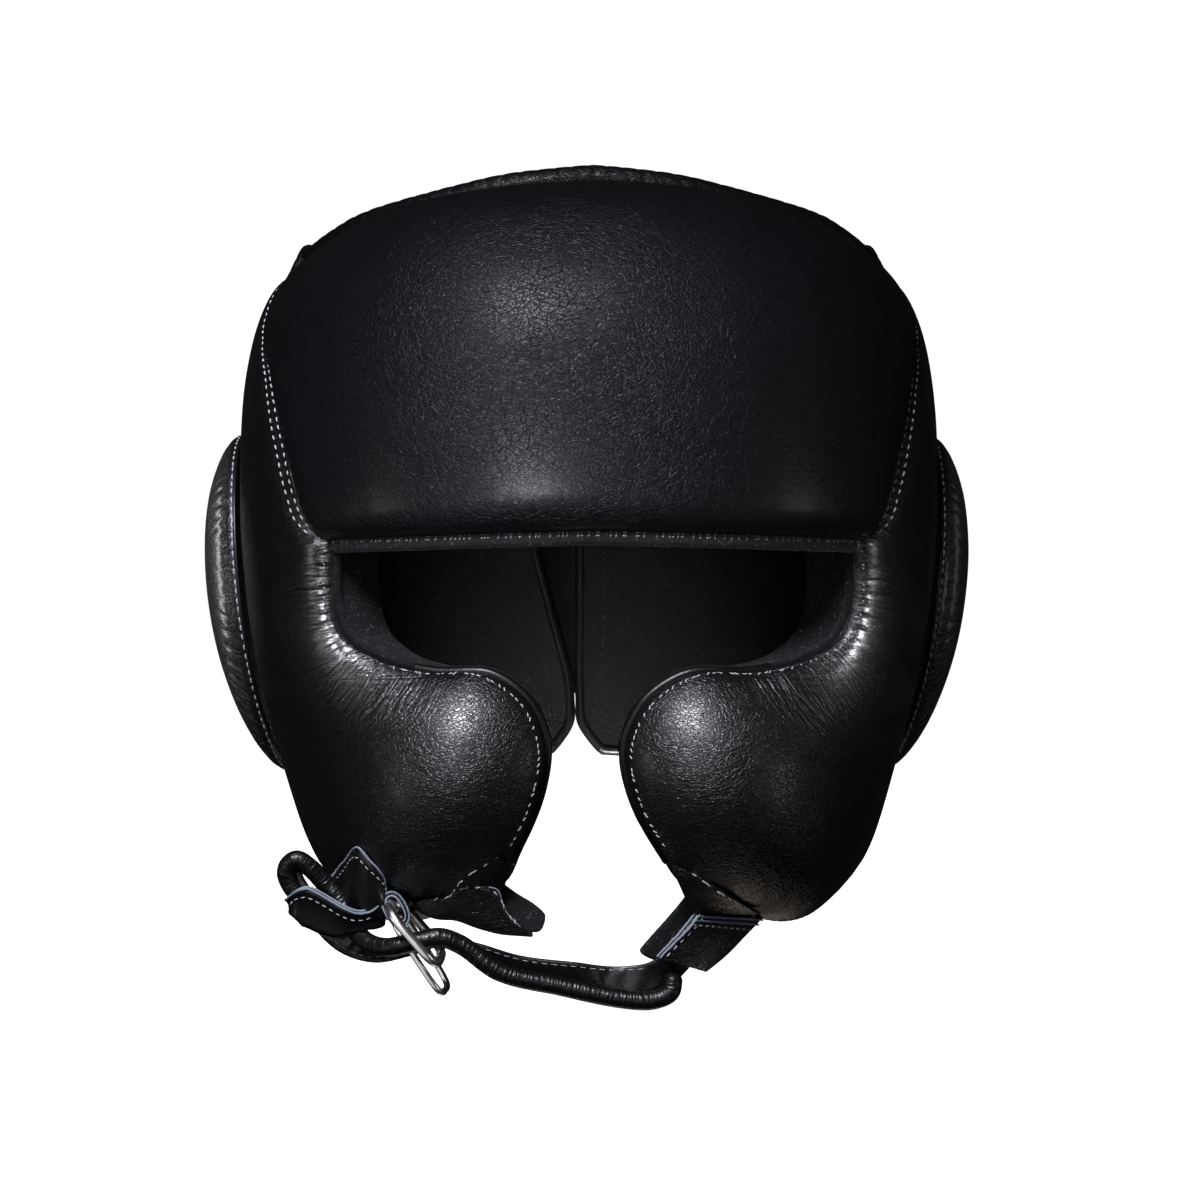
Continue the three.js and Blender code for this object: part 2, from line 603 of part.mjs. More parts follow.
// Band that runs round a closed rim
function keeperGeometry() {
  const count = KEEPER_ROWS.length;
  const rim = KEEPER_ROWS.map((row) => new THREE.Vector3(row.x, row.y, row.z));
  const points = [];
  const loops = [[], [], [], []];
  KEEPER_ROWS.forEach((row, k) => {
    const run = new THREE.Vector3(row.runX, row.runY, row.runZ);
    const along = rim[(k + 1) % count].clone().sub(rim[(k + count - 1) % count]);
    const out = new THREE.Vector3().crossVectors(along, run).setLength(KEEPER_WALL / 2);
    const end = rim[k].clone().add(run);
    loops[0].push(points.push(rim[k].clone().add(out)) - 1);
    loops[1].push(points.push(end.clone().add(out)) - 1);
    loops[2].push(points.push(end.clone().sub(out)) - 1);
    loops[3].push(points.push(rim[k].clone().sub(out)) - 1);
  });
  const triangles = [];
  loops.forEach((loop, k) => {
    bridge(triangles, loop, loops[(k + 1) % loops.length], true);
  });
  return closedGeometry(points, triangles);
}

// Points of a rounded outline between an ellipse and a rectangle
function roundedOutline(halfX, halfY, squareness, count) {
  const power = 2 / squareness;
  const bend = (v) => Math.sign(v) * Math.abs(v) ** power;
  const points = [];
  for (let k = 0; k < count; k += 1) {
    const angle = (k / count) * 2 * Math.PI;
    points.push(new THREE.Vector2(halfX * bend(Math.cos(angle)), halfY * bend(Math.sin(angle))));
  }
  return points;
}

// Outline of folded leather, swept along Y
function ringLoopGeometry() {
  const { halfWide, halfTall, wall, front, rear, squareness } = RING_LOOP;
  const outline = (inset) => roundedOutline(halfWide - inset, halfTall - inset, squareness, LOOP_STEPS);
  const shape = new THREE.Shape(outline(0));
  shape.holes.push(new THREE.Path(outline(wall)));
  const geometry = new THREE.ExtrudeGeometry(shape, { depth: rear - front, steps: 1, bevelEnabled: false });
  geometry.rotateX(Math.PI / 2);
  geometry.rotateY(-RING_LOOP.tilt * DEG);
  geometry.translate(RING_LOOP.x, rear, RING_LOOP.z);
  return geometry;
}

// Rounded wire ring, its long side in the ring's own X and its short side in its own Y
function ringGeometry(ring) {
  const outline = roundedOutline(ring.long, ring.short, RING_SQUARENESS, RING_STEPS);
  const path = new THREE.CatmullRomCurve3(outline.map((p) => new THREE.Vector3(p.x, p.y, 0)), true);
  return new THREE.TubeGeometry(path, RING_STEPS, ring.wire, ROLL_SIDES, true);
}

const guard = new THREE.Group();

function place(name, geometry, finish) {
  const mesh = new THREE.Mesh(geometry, new THREE.MeshStandardMaterial(finish));
  mesh.name = name;
  guard.add(mesh);
  return mesh;
}

const forehead = foreheadLayers();
place('forehead_pad', forehead.pad, LEATHER);
place('forehead_lining', forehead.lining, SUEDE);
place('brow_roll', browRollGeometry(), SUEDE);
place('top_binding', bindingGeometry(), LEATHER);
place('crown_pad', crownGeometry(), LEATHER);

for (const [word, side] of [['left', -1], ['right', 1]]) {
  const cheek = cheekLayers(side);
  place(`cheek_pad_${word}`, cheek.pad, LEATHER);
  place(`cheek_lining_${word}`, cheek.lining, SUEDE);
  place(`ear_pad_${word}`, earGeometry(side), LEATHER);
  const back = backLayers(side);
  place(`back_pad_${word}`, back.pad, LEATHER);
  place(`back_lining_${word}`, back.lining, SUEDE);
}
place('back_gusset', gussetGeometry(), LEATHER);

place('chin_flap_left', stripGeometry(CHIN_FLAP_LEFT, FLAP_THICK), LEATHER);
place('chin_flap_lining_left', stripGeometry(FLAP_LINING_LEFT, FLAP_THICK), SUEDE);
place('chin_flap_right', stripGeometry(SLEEVE_RIGHT, SLEEVE_THICK), LEATHER);
place('chin_flap_lining_right', stripGeometry(CHIN_FLAP_RIGHT, FLAP_THICK), SUEDE);
place('keeper_loop', keeperGeometry(), LEATHER);
place('ring_loop', ringLoopGeometry(), LEATHER);

for (const ring of RINGS) {
  const mesh = place(ring.name, ringGeometry(ring), STEEL);
  mesh.rotation.y = -ring.tilt * DEG;
  mesh.position.set(ring.x, ring.y, ring.z);
}

place('chin_strap', stripGeometry(STRAP_BAND, BAND_THICK), LEATHER);
const tailPoints = STRAP_TAIL.map((row) => new THREE.Vector3(row.x, row.y, row.z));
place('strap_tail', rollGeometry(tailPoints, TAIL_RADIUS, TAIL_STEPS), LEATHER);

export default guard;
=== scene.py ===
"""Looks of a padded leather head guard, laid out as an add-on and run as a script.

Sizes in the tables are millimetres and degrees on the head form. Meshes are made in metres, in the
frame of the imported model: +Z up, the face looks along -Y, the origin is the inside of the crown.
"""

import json
import math

import bpy
import numpy as np
from bpy.props import FloatProperty, FloatVectorProperty, PointerProperty
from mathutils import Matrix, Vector

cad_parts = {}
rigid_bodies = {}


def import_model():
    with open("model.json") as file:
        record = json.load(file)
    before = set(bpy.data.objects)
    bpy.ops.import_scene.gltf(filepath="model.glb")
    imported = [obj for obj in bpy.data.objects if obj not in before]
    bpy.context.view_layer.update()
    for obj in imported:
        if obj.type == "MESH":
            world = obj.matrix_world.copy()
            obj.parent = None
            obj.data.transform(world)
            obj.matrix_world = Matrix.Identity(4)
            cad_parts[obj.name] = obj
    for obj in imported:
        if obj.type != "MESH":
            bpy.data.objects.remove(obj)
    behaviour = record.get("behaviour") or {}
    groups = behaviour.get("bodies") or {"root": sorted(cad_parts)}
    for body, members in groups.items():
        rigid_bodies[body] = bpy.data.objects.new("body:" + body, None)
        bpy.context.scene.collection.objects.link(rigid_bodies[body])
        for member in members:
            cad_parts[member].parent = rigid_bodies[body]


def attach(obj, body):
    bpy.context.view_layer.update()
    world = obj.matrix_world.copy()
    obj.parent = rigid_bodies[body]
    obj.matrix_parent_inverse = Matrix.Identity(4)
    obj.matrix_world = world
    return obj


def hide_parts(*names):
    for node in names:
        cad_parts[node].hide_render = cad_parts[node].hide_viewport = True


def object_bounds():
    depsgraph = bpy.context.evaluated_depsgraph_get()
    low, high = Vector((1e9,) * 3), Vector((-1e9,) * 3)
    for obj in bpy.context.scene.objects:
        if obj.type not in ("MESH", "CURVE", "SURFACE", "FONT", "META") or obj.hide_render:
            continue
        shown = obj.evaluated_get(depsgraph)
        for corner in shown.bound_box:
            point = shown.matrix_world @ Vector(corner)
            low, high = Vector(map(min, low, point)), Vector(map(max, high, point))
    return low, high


bl_info = {
    "name": "Leather head guard",
    "version": (1, 0, 0),
    "blender": (4, 5, 0),
    "location": "View3D > Sidebar > Head guard",
    "description": "Builds the looks of a padded leather head guard on its packed model",
    "category": "Add Mesh",
}

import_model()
CAD_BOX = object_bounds()
MM = 0.001
TINY = 1e-9
BODY = "root"
SIDES = (("left", -1), ("right", 1))

# Head form that the pads wrap
HALF_WIDTH = 86
FRONT_DEPTH = 99
BACK_DEPTH = 94
CROWN_RISE = 88
JAW_DROP = 152
JAW_REACH = 220
CROWN_POWER = 3
JAW_POWER = 2
PLAN_POWER = 2.3

# Full heights of the pads over the form, and of the lining
FOREHEAD_FULL = 26
CHEEK_FULL = 25
BACK_FULL = 19
CROWN_FULL = 9
CROWN_RIM = 6
LINING_THIN = 2.5
LAYER_GAP = 0.8
SEAM_GAP_DEG = 0.2

# Seam between forehead and side pad, from the brow corner up, and the same line at the middle
SEAM = [
    dict(az=41.6, el=-6.4, middle=-4.4, edge=16.6),
    dict(az=45, el=-3.2, middle=-0.2, edge=19.6),
    dict(az=47.1, el=0.6, middle=4, edge=21.5),
    dict(az=51, el=9.6, middle=15, edge=21.5),
    dict(az=57.8, el=20, middle=28, edge=21.5),
    dict(az=70, el=29.3, middle=42, edge=21.5),
    dict(az=81, el=38, middle=55, edge=21.5),
]
ROW_BEND = 1.6

# Front edge of the side pad below the brow corner, and the rear edge at the same row
CHEEK_ROWS = [
    dict(az=42.2, el=-12.1, rear_az=104, rear_el=-6, thick=17.2, lining=15.5, round=18, lean=0),
    dict(az=42.3, el=-17.4, rear_az=104, rear_el=-12, thick=17.6, lining=15.5, round=18, lean=0),
    dict(az=41, el=-22, rear_az=104, rear_el=-17, thick=17, lining=14, round=18, lean=0),
    dict(az=35.8, el=-25.3, rear_az=104, rear_el=-22, thick=14, lining=10.5, round=22, lean=0.1),
    dict(az=26.6, el=-27.2, rear_az=104, rear_el=-27, thick=11, lining=7, round=26, lean=0.3),
    dict(az=16.5, el=-27.6, rear_az=103.5, rear_el=-32, thick=9, lining=4.5, round=28, lean=0.6),
    dict(az=9.8, el=-32, rear_az=103, rear_el=-36.5, thick=8, lining=3.5, round=28, lean=0.8),
    dict(az=7, el=-38.4, rear_az=101.5, rear_el=-41, thick=8, lining=3.5, round=28, lean=1),
    dict(az=8.4, el=-45, rear_az=99, rear_el=-46, thick=8, lining=3.5, round=28, lean=1),
    dict(az=14.8, el=-53.5, rear_az=95, rear_el=-51, thick=8, lining=3.5, round=26, lean=0.7),
    dict(az=22, el=-59.5, rear_az=88, rear_el=-56.5, thick=8.5, lining=3.5, round=26, lean=0.2),
    dict(az=40, el=-63.5, rear_az=77, rear_el=-61.5, thick=9, lining=3.5, round=26, lean=0),
]
LOBE_LEAN = -1.7
LOBE_EDGE = 1.8
CHEEK_REAR_AZ = 104
CHEEK_REAR_TOP = 39

# Edges of the pads: height at the edge and the run over which the pad swells to full
BROW_EDGE = (16, 15)
TOP_EDGE = (9, 46)
TOP_CORNER = 17
SEAM_EDGE = (21.5, 14)
CHEEK_TOP_EDGE = (19, 24)
CHEEK_TOP_REAR = 11
CHEEK_REAR_EDGE = (19, 16)
CHEEK_BOTTOM_EDGE = (9.4, 29)
BACK_SIDE_EDGE = (16, 16)
BACK_INNER_EDGE = (7, 20)
BACK_TOP_EDGE = (11, 20)
BACK_BOTTOM_EDGE = (6, 20)
BROW_LINING = 12
CORNER_LINING = 14

# Back panels: inner edges of the right and the left panel
BACK_ROWS = [
    dict(el=41, right=180.4, left=164),
    dict(el=36, right=180.4, left=164.4),
    dict(el=22, right=180.4, left=165.6),
    dict(el=5, right=180.4, left=167.2),
    dict(el=-12, right=180.4, left=169.8),
    dict(el=-28, right=180.4, left=173.8),
    dict(el=-40, right=180.4, left=176.8),
    dict(el=-46, right=179.4, left=176),
    dict(el=-49.5, right=175, left=171.6),
]
BACK_SIDE_BOTTOM = -50
GUSSET_BOTTOM = -40

# Ear cushions: place and half sizes in degrees, heights, and the lengths of a radian round and of the way to
# the border
EAR = dict(az=105.6, el=-18.2, half_az=24.4, half_el=29.6, seat=25.3, edge=0.9, full=13, radian=46, reach=44)

# Top bead, from its middle to its ends
BEAD_ROWS = [
    dict(rise=3, height=13.9),
    dict(rise=3, height=12.8),
    dict(rise=3, height=11.5),
    dict(rise=3.6, height=14.2),
    dict(rise=3.2, height=20.5),
]
BEAD_RADIUS = 4.3
BEAD_SPAN = 92
BEAD_CORNER = [(92.8, -6, -19.4), (96.4, -13, -26), (98, -18, -34)]
BROW_ROLL = dict(radius=2.2, span=42.6, drop=0.9, seat=16.6)

# Edge points of flat straps: ax, ay, az, bx, by, bz
CHIN_FLAP_RIGHT = [
    (31.6, -80, -201, 54, -56, -210.6),
    (27.4, -82.6, -206.4, 50.6, -61.5, -214.6),
    (22.4, -84.6, -212, 45.6, -68.4, -218.8),
    (16.4, -86, -218.4, 39.6, -75.4, -223.6),
    (11.6, -86.4, -224, 34, -80, -228.2),
]
SLEEVE_RIGHT = [
    (30.4, -91, -210.4, 51.4, -66.2, -214.8),
    (26.6, -92.4, -215, 45.4, -74, -219.6),
    (22.4, -93.2, -219.2, 39.4, -81, -224.4),
    (18.8, -93.4, -223, 33.4, -85.6, -228.4),
]
CHIN_FLAP_LEFT = [
    (-54.8, -86, -208.3, -50, -90, -205.1),
    (-47, -90, -211.4, -43.7, -94, -204),
    (-41.1, -91, -211.8, -38.6, -97, -200.4),
    (-34.6, -92, -214.1, -32.7, -97, -200.4),
    (-27.7, -92, -215.9, -28.3, -96, -202.3),
    (-22.1, -92, -216.5, -27.1, -94, -207.6),
    (-16.8, -91.5, -216.9, -21.8, -92.5, -213.8),
]
FLAP_LINING_LEFT = [
    (-29.8, -89, -204.1, -26.8, -89, -201.4),
    (-28, -89.5, -207.6, -22.7, -89.5, -204.3),
    (-25.7, -90, -211.4, -18.2, -90, -207),
    (-22.1, -90.5, -214.4, -14.7, -90.5, -210.2),
    (-18.2, -91, -217, -13.8, -91, -213.1),
]
# Gores of thin leather between the lobes and the flaps
GORE_RIGHT = [
    (21.7, -99.8, -192.1, 24.3, -100.2, -193.5),
    (23.6, -98.5, -197.4, 32.4, -100.5, -198.9),
    (25.5, -95.5, -201.9, 39.3, -98, -203.7),
    (27.4, -93, -206.4, 45.7, -90, -208),
    (28.4, -91.5, -209, 49.7, -84, -210.9),
]
GORE_LEFT = [
    (-28.9, -103, -191.4, -25.1, -99, -194.8),
    (-34.5, -102, -194.4, -25.9, -97.5, -197.7),
    (-39.2, -101, -197.5, -26.5, -96, -200.5),
    (-43.4, -95, -203.6, -28, -95, -203),
]
STRAP_BAND = [
    (23.6, -88.2, -215.6, 33, -82.8, -219.6),
    (21.4, -88.8, -220, 30, -84.8, -225),
    (17.6, -88.6, -224.4, 23.4, -86.6, -231.6),
    (8.6, -86.6, -226.4, 11.4, -88.4, -235),
    (-6, -88, -225, -6, -86.5, -232.2),
    (-22, -88, -223, -22, -86.5, -229.4),
    (-36, -88.4, -218.8, -36.4, -88, -223.8),
    (-45.6, -84.4, -217.4, -45.8, -90.4, -219.7),
    (-54.6, -84, -219.4, -55, -90.2, -222.4),
    (-64, -82.6, -220.4, -66, -84.4, -225.4),
    (-72, -79.6, -217, -76, -80, -223),
    (-79, -78.4, -211.4, -83.6, -79.2, -216),
    (-84.4, -79.8, -203.8, -88.2, -80.2, -206.6),
    (-86.6, -79.4, -200.6, -91.4, -79.4, -202.4),
    (-88, -79.4, -196.6, -92.2, -79.4, -197.4),
    (-88.4, -80.4, -193.8, -91.4, -80.4, -194.2),
]
FLAP_THICK = 3.2
SLEEVE_THICK = 1.9
GORE_THICK = 1.6
BAND_THICK = 1.8

# Middle of the rolled run of the strap: x, y, z
STRAP_TAIL = [
    (23.4, -92, -229.6),
    (22.4, -92.4, -233.4),
    (17.4, -93, -235.6),
    (7.6, -94, -235),
    (-10.3, -95, -231.1),
    (-28.1, -96.4, -226.6),
    (-39.6, -97.4, -218.4),
    (-46, -98.5, -216),
    (-53.4, -98.5, -217.4),
    (-61, -95.6, -219.2),
    (-67, -89.4, -218.8),
    (-71.2, -84.2, -215.6),
    (-74.6, -81.4, -209.4),
    (-79.6, -80.8, -203),
    (-85, -82, -197),
    (-88.6, -82.4, -194.8),
    (-91, -81.4, -196.4),
    (-91.8, -80.6, -199),
    (-90.4, -79.8, -203),
    (-87.4, -79.6, -206.6),
]
TAIL_RADIUS = 2.85

# Rim of the keeper and the run of its wall from there: x, y, z, run x, run y, run z
KEEPER_ROWS = [
    (-91.4, -82.4, -206.8, 0.8, 1.5, -3.6),
    (-88.1, -86, -203.6, -1, 2.5, -8.4),
    (-85.1, -87, -203, -1.8, 3, -11.5),
    (-79.9, -88.5, -205.2, -2.2, 3, -11),
    (-74.3, -90, -208.3, -2.8, 3, -9),
    (-69.9, -90.5, -209.7, -3.2, 3, -6.4),
    (-66, -91, -208.7, -1.8, 2.4, -6),
    (-63.3, -91, -205.3, -0.6, 2.6, -9),
    (-62.7, -91.4, -201.4, 0, 3, -12),
    (-63.8, -93.6, -196.8, 0, 4, -15),
    (-66.4, -94.2, -193.5, -0.4, 5, -18),
    (-69.4, -92.4, -190.3, -1, 6, -20),
    (-74, -82, -196, -0.4, 2, -19),
    (-77.5, -76.5, -200.1, 0, 1, -16),
    (-83.9, -75.6, -205.6, 1, 1.4, -10),
    (-89.9, -79.4, -207.2, 0.8, 1.5, -3.8),
]
KEEPER_WALL = 1.6

RINGS = [
    dict(name="ring_front", at=(-53.1, -91, -215.1), long=11, short=12.5, wire=1.45, tilt=-49, roll=5),
    dict(name="ring_rear", at=(-51.7, -87.3, -222.1), long=13.4, short=6.6, wire=1, tilt=-57, roll=13),
]
RING_SQUARENESS = 4
RING_LOOP = dict(
    x=-59, z=-208.5, front=-91.6, rear=-83, half_wide=3.3, half_tall=5.4, wall=1.1, tilt=27, squareness=2.4,
)


# Form and tables


def unit(vectors):
    """The same directions with a length of 1."""
    return vectors / np.maximum(np.linalg.norm(vectors, axis=-1, keepdims=True), TINY)


def jaw_stretch(z):
    """How much deeper than an ellipse the form stays towards the jaw."""
    low = np.clip(z, -0.99 * JAW_DROP, 0)
    return np.sqrt((1 - (low / JAW_REACH) ** 2) / (1 - (low / JAW_DROP) ** 2))


def form_level(points):
    """1 on the inner surface of the form, more outside it."""
    x, y, z = np.moveaxis(points, -1, 0)
    depth = y / jaw_stretch(z)
    reach = np.where(depth < 0, FRONT_DEPTH, BACK_DEPTH)
    plan = (np.abs(x / HALF_WIDTH) ** PLAN_POWER + np.abs(depth / reach) ** PLAN_POWER) ** (1 / PLAN_POWER)
    crown = plan**CROWN_POWER + np.abs(z / CROWN_RISE) ** CROWN_POWER
    jaw = plan**JAW_POWER + np.abs(z / JAW_DROP) ** JAW_POWER
    return np.where(z > 0, crown, jaw)


def form_point(az, el):
    """Point of the form in a direction, azimuth 0 at the face and growing towards +X."""
    az, el = np.broadcast_arrays(np.radians(az), np.radians(el))
    reach = np.where(np.cos(az) > 0, FRONT_DEPTH, BACK_DEPTH)
    across = np.abs(np.cos(el) * np.sin(az)) / HALF_WIDTH
    along = np.abs(np.cos(el) * np.cos(az)) / reach
    plan = (across**PLAN_POWER + along**PLAN_POWER) ** (1 / PLAN_POWER)
    up = np.abs(np.sin(el))
    crown = (plan**CROWN_POWER + (up / CROWN_RISE) ** CROWN_POWER) ** (-1 / CROWN_POWER)
    jaw = (plan**JAW_POWER + (up / JAW_DROP) ** JAW_POWER) ** (-1 / JAW_POWER)
    radius = np.where(el > 0, crown, jaw)
    z = radius * np.sin(el)
    y = -radius * np.cos(el) * np.cos(az) * jaw_stretch(z)
    return np.stack([radius * np.cos(el) * np.sin(az), y, z], axis=-1)


def form_normal(points):
    step = 0.05
    slopes = [form_level(points + step * axis) - form_level(points - step * axis) for axis in np.eye(3)]
    return unit(np.stack(slopes, axis=-1))


def outward(points):
    """Directions away from the form at points in the part's frame."""
    return form_normal(points + [0, 0, CROWN_RISE])


def above(az, el, height):
    """Points a height above the form, in the part's frame."""
    base = form_point(az, el)
    points = base + form_normal(base) * np.broadcast_to(height, base.shape[:-1])[..., None]
    points[..., 2] -= CROWN_RISE
    return points


def smooth(knots, values, at):
    """Smooth curve through the values at uneven knots."""
    knots, values, at = np.asarray(knots, float), np.asarray(values, float), np.asarray(at, float)
    slopes = np.gradient(values, knots)
    span = np.clip(np.searchsorted(knots, at, side="right") - 1, 0, len(knots) - 2)
    width = knots[span + 1] - knots[span]
    t = (at - knots[span]) / width
    rise = values[span + 1] - values[span]
    start, end = slopes[span] * width, slopes[span + 1] * width
    return values[span] + t * (start + t * (3 * rise - 2 * start - end + t * (start + end - 2 * rise)))


def table_at(rows, name, t):
    """Column of a table at t from 0, its first row, to 1, its last."""
    return smooth(np.linspace(0, 1, len(rows)), [row[name] for row in rows], t)


def swell(distance, edge, full):
    """Height of a pad at a distance from an edge."""
    thick, run = edge
    t = np.clip(distance / run, 0, 1)
    return thick + (full - thick) * np.sqrt(np.clip(1 - (1 - t) ** 2, 0, 1))


def softest(heights, blend=0.9):
    """Least of several heights, with the creases between them rounded."""
    stack = np.stack(np.broadcast_arrays(*heights))
    least = stack.min(axis=0)
    return least - blend * np.log(np.exp(-(stack - least) / blend).sum(axis=0))


def ripple(a, b, seed, octaves=3):
    """Smooth wandering values of about -1 to 1 over two coordinates, the same on every run."""
    random = np.random.default_rng(seed)
    total, weight = 0.0, 1.0
    for octave in range(octaves):
        for _ in range(3):
            turn, shift = random.uniform(0, 2 * math.pi, 2)
            pitch = random.uniform(0.7, 1.3) * 2**octave
            total = total + weight * np.sin(pitch * (a * math.cos(turn) + b * math.sin(turn)) + shift)
        weight *= 0.5
    return total / 3


def graded(length, first, last, step):
    """Distances from 0 to length, close together at both ends and a step apart between them."""
    most, end_steps = 0.45 * length, 16
    first, last = min(first, most), min(last, most)
    turn = np.linspace(0, math.pi / 2, end_steps)
    start = first * (1 - np.cos(turn))
    end = length - last * (1 - np.cos(turn[::-1]))
    count = max(3, int(round((length - first - last) / step)))
    return np.concatenate([start, np.linspace(first, length - last, count + 1)[1:-1], end])


def run_lengths(points, axis):
    """Running length along one axis of a grid of points."""
    steps = np.linalg.norm(np.diff(points, axis=axis), axis=-1)
    total = np.cumsum(steps, axis=axis)
    first = np.zeros_like(np.take(total, [0], axis=axis))
    return np.concatenate([first, total], axis=axis)


# Meshes


def join_meshes(parts):
    """One list of points and one of faces from several."""
    points, faces, start = [], [], 0
    for part_points, part_faces in parts:
        points.append(np.reshape(part_points, (-1, 3)))
        faces.extend([tuple(i + start for i in face) for face in part_faces])
        start += len(points[-1])
    return np.concatenate(points), faces


def grid_faces(rows, columns, closed_rows=False, closed_columns=False, flip=False):
    """Quads of a grid whose points are numbered row by row."""
    faces = []
    for i in range(rows if closed_rows else rows - 1):
        for j in range(columns if closed_columns else columns - 1):
            a = i * columns + j
            b = i * columns + (j + 1) % columns
            c = ((i + 1) % rows) * columns + (j + 1) % columns
            d = ((i + 1) % rows) * columns + j
            faces.append((a, d, c, b) if flip else (a, b, c, d))
    return faces


def grid_part(points, **closed):
    rows, columns = points.shape[:2]
    return points, grid_faces(rows, columns, **closed)


def make_piece(name, parts, look, node=None, folds=None):
    """An object from mesh parts in millimetres, riding on the body and standing for a node of the model.

    look is the name of its finish. folds holds, for each point of the first part, its run along an edge,
    its gap to that edge and the depth of the puckers there.
    """
    points, faces = join_meshes(parts)
    if not np.isfinite(points).all():
        raise ValueError(f"{name} has points that are not numbers")
    mesh = bpy.data.meshes.new(name)
    mesh.from_pydata((points * MM).tolist(), [], faces)
    mesh.polygons.foreach_set("use_smooth", np.ones(len(mesh.polygons), bool))
    if folds is not None:
        values = np.zeros((len(points), 3))
        values[: folds.size // 3] = folds.reshape(-1, 3)
        mesh.attributes.new("folds", "FLOAT_VECTOR", "POINT").data.foreach_set("vector", values.ravel())
    mesh.materials.append(finish(look))
    piece = bpy.data.objects.new(name, mesh)
    bpy.context.scene.collection.objects.link(piece)
    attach(piece, BODY)
    if node:
        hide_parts(node)


def layer_parts(az, el, inner, outer):
    """Closed pad between two heights over a grid of directions: skin, walls and a coarser inside."""
    wall_levels, coarse_step, whole = 4, 4, slice(None)
    flip = np.mean(az[:, -1] - az[:, 0]) < 0
    parts = [grid_part(above(az, el, outer), flip=not flip)]
    levels = np.linspace(1, 0, wall_levels)[:, None]
    for edge, turned in (((0, whole), False), ((-1, whole), True), ((whole, 0), True), ((whole, -1), False)):
        heights = inner[edge] + (outer[edge] - inner[edge]) * levels
        edge_az, edge_el = (np.broadcast_to(angle[edge], heights.shape) for angle in (az, el))
        parts.append(grid_part(above(edge_az, edge_el, heights), flip=turned == flip))
    coarse = np.ix_(*(np.unique(np.append(np.arange(0, count, coarse_step), count - 1)) for count in az.shape))
    parts.append(grid_part(above(az[coarse], el[coarse], inner[coarse]), flip=flip))
    return parts


def polar_grid(rings, sectors):
    """Shares of the reach and angles of a grid round a middle."""
    r = rings[:, None] * np.ones(sectors)
    return r, np.ones(len(rings))[:, None] * np.linspace(0, 2 * math.pi, sectors, endpoint=False)


def rim_wall(az, el, top, bottom, levels):
    """Wall that goes down from a rim."""
    heights = np.linspace(1, 0, levels)[:, None] * (top - bottom) + bottom
    return above(np.tile(az, (levels, 1)), np.tile(el, (levels, 1)), heights)


class Surface:
    """Skin of a pad as a grid of points, with a running row value and a distance along each row."""

    def __init__(self, rows, distances, points):
        self.rows, self.distances, self.points = rows, distances, points
        self.normals = unit(np.cross(np.gradient(points, axis=0), np.gradient(points, axis=1)))
        middle = tuple(n // 2 for n in points.shape[:2])
        if np.dot(self.normals[middle], points[middle] + [0, 0, CROWN_RISE]) < 0:
            self.normals = -self.normals

    def at(self, row, distance):
        """Points and normals at row values and distances from the row's start."""
        found = []
        for r, d in zip(np.atleast_1d(row), np.atleast_1d(distance)):
            i = int(np.clip(np.searchsorted(self.rows, r) - 1, 0, len(self.rows) - 2))
            t = np.clip((r - self.rows[i]) / (self.rows[i + 1] - self.rows[i]), 0, 1)
            pair = []
            for k in (i, i + 1):
                both = np.concatenate([self.points[k], self.normals[k]], axis=1)
                pair.append([np.interp(d, self.distances[k], both[:, c]) for c in range(6)])
            found.append((1 - t) * np.array(pair[0]) + t * np.array(pair[1]))
        found = np.array(found)
        return found[:, :3], unit(found[:, 3:])


def along_line(points, lengths, at):
    return np.stack([np.interp(at, lengths, points[:, c]) for c in range(3)], axis=1)


# Rings of one stitch: place along it as a share of its length, width and lift as shares of the thread's radius
STITCH_RINGS = [(-0.5, 0.25, -0.7), (-0.36, 0.8, -0.1), (0.0, 1.0, 0.25), (0.36, 0.8, -0.1), (0.5, 0.25, -0.7)]
STITCH_SIDES = 6
STITCH_SEED = 1
STITCH_LOOK = 0.4
STITCH_SWING = 1.2


def stitch_row(points, normals, pitch, length, share, slant=0.0, start=0.0, jitter=0.0):
    """Row of sewn stitches along a line on a surface, each a small arched piece of thread.

    share is the share of the thread's radius, slant turns the stitches by degrees, jitter makes them uneven.
    """
    radius = settings().thread.radius * share
    lengths = run_lengths(points, 0)
    count = max(1, int((lengths[-1] - start) / pitch))
    at = start + pitch * (0.5 + np.arange(count))
    at = at[at < lengths[-1]]
    random = np.random.default_rng(STITCH_SEED)
    at = at + random.uniform(-jitter, jitter, len(at)) * pitch
    place = along_line(points, lengths, at)
    ahead = along_line(points, lengths, at + STITCH_LOOK) - along_line(points, lengths, at - STITCH_LOOK)
    up = unit(along_line(normals, lengths, at))
    turns = np.linspace(0, 2 * math.pi, STITCH_SIDES, endpoint=False)
    angles = math.radians(slant) + random.uniform(-jitter, jitter, len(at)) * STITCH_SWING
    parts = []
    for middle, along, normal, angle in zip(place, ahead, up, angles):
        along = unit(along - normal * np.dot(along, normal))
        side = np.cross(normal, along)
        c, s = math.cos(angle), math.sin(angle)
        along, side = along * c + side * s, side * c - along * s
        circle = np.outer(np.cos(turns), side) + np.outer(np.sin(turns), normal)
        rings = []
        for run, wide, lift in STITCH_RINGS:
            rings.append(middle + along * run * length + normal * lift * radius + circle * radius * wide)
        parts.append(grid_part(np.array(rings), closed_columns=True))
    return parts


NEARLY_UPRIGHT = 1e-3


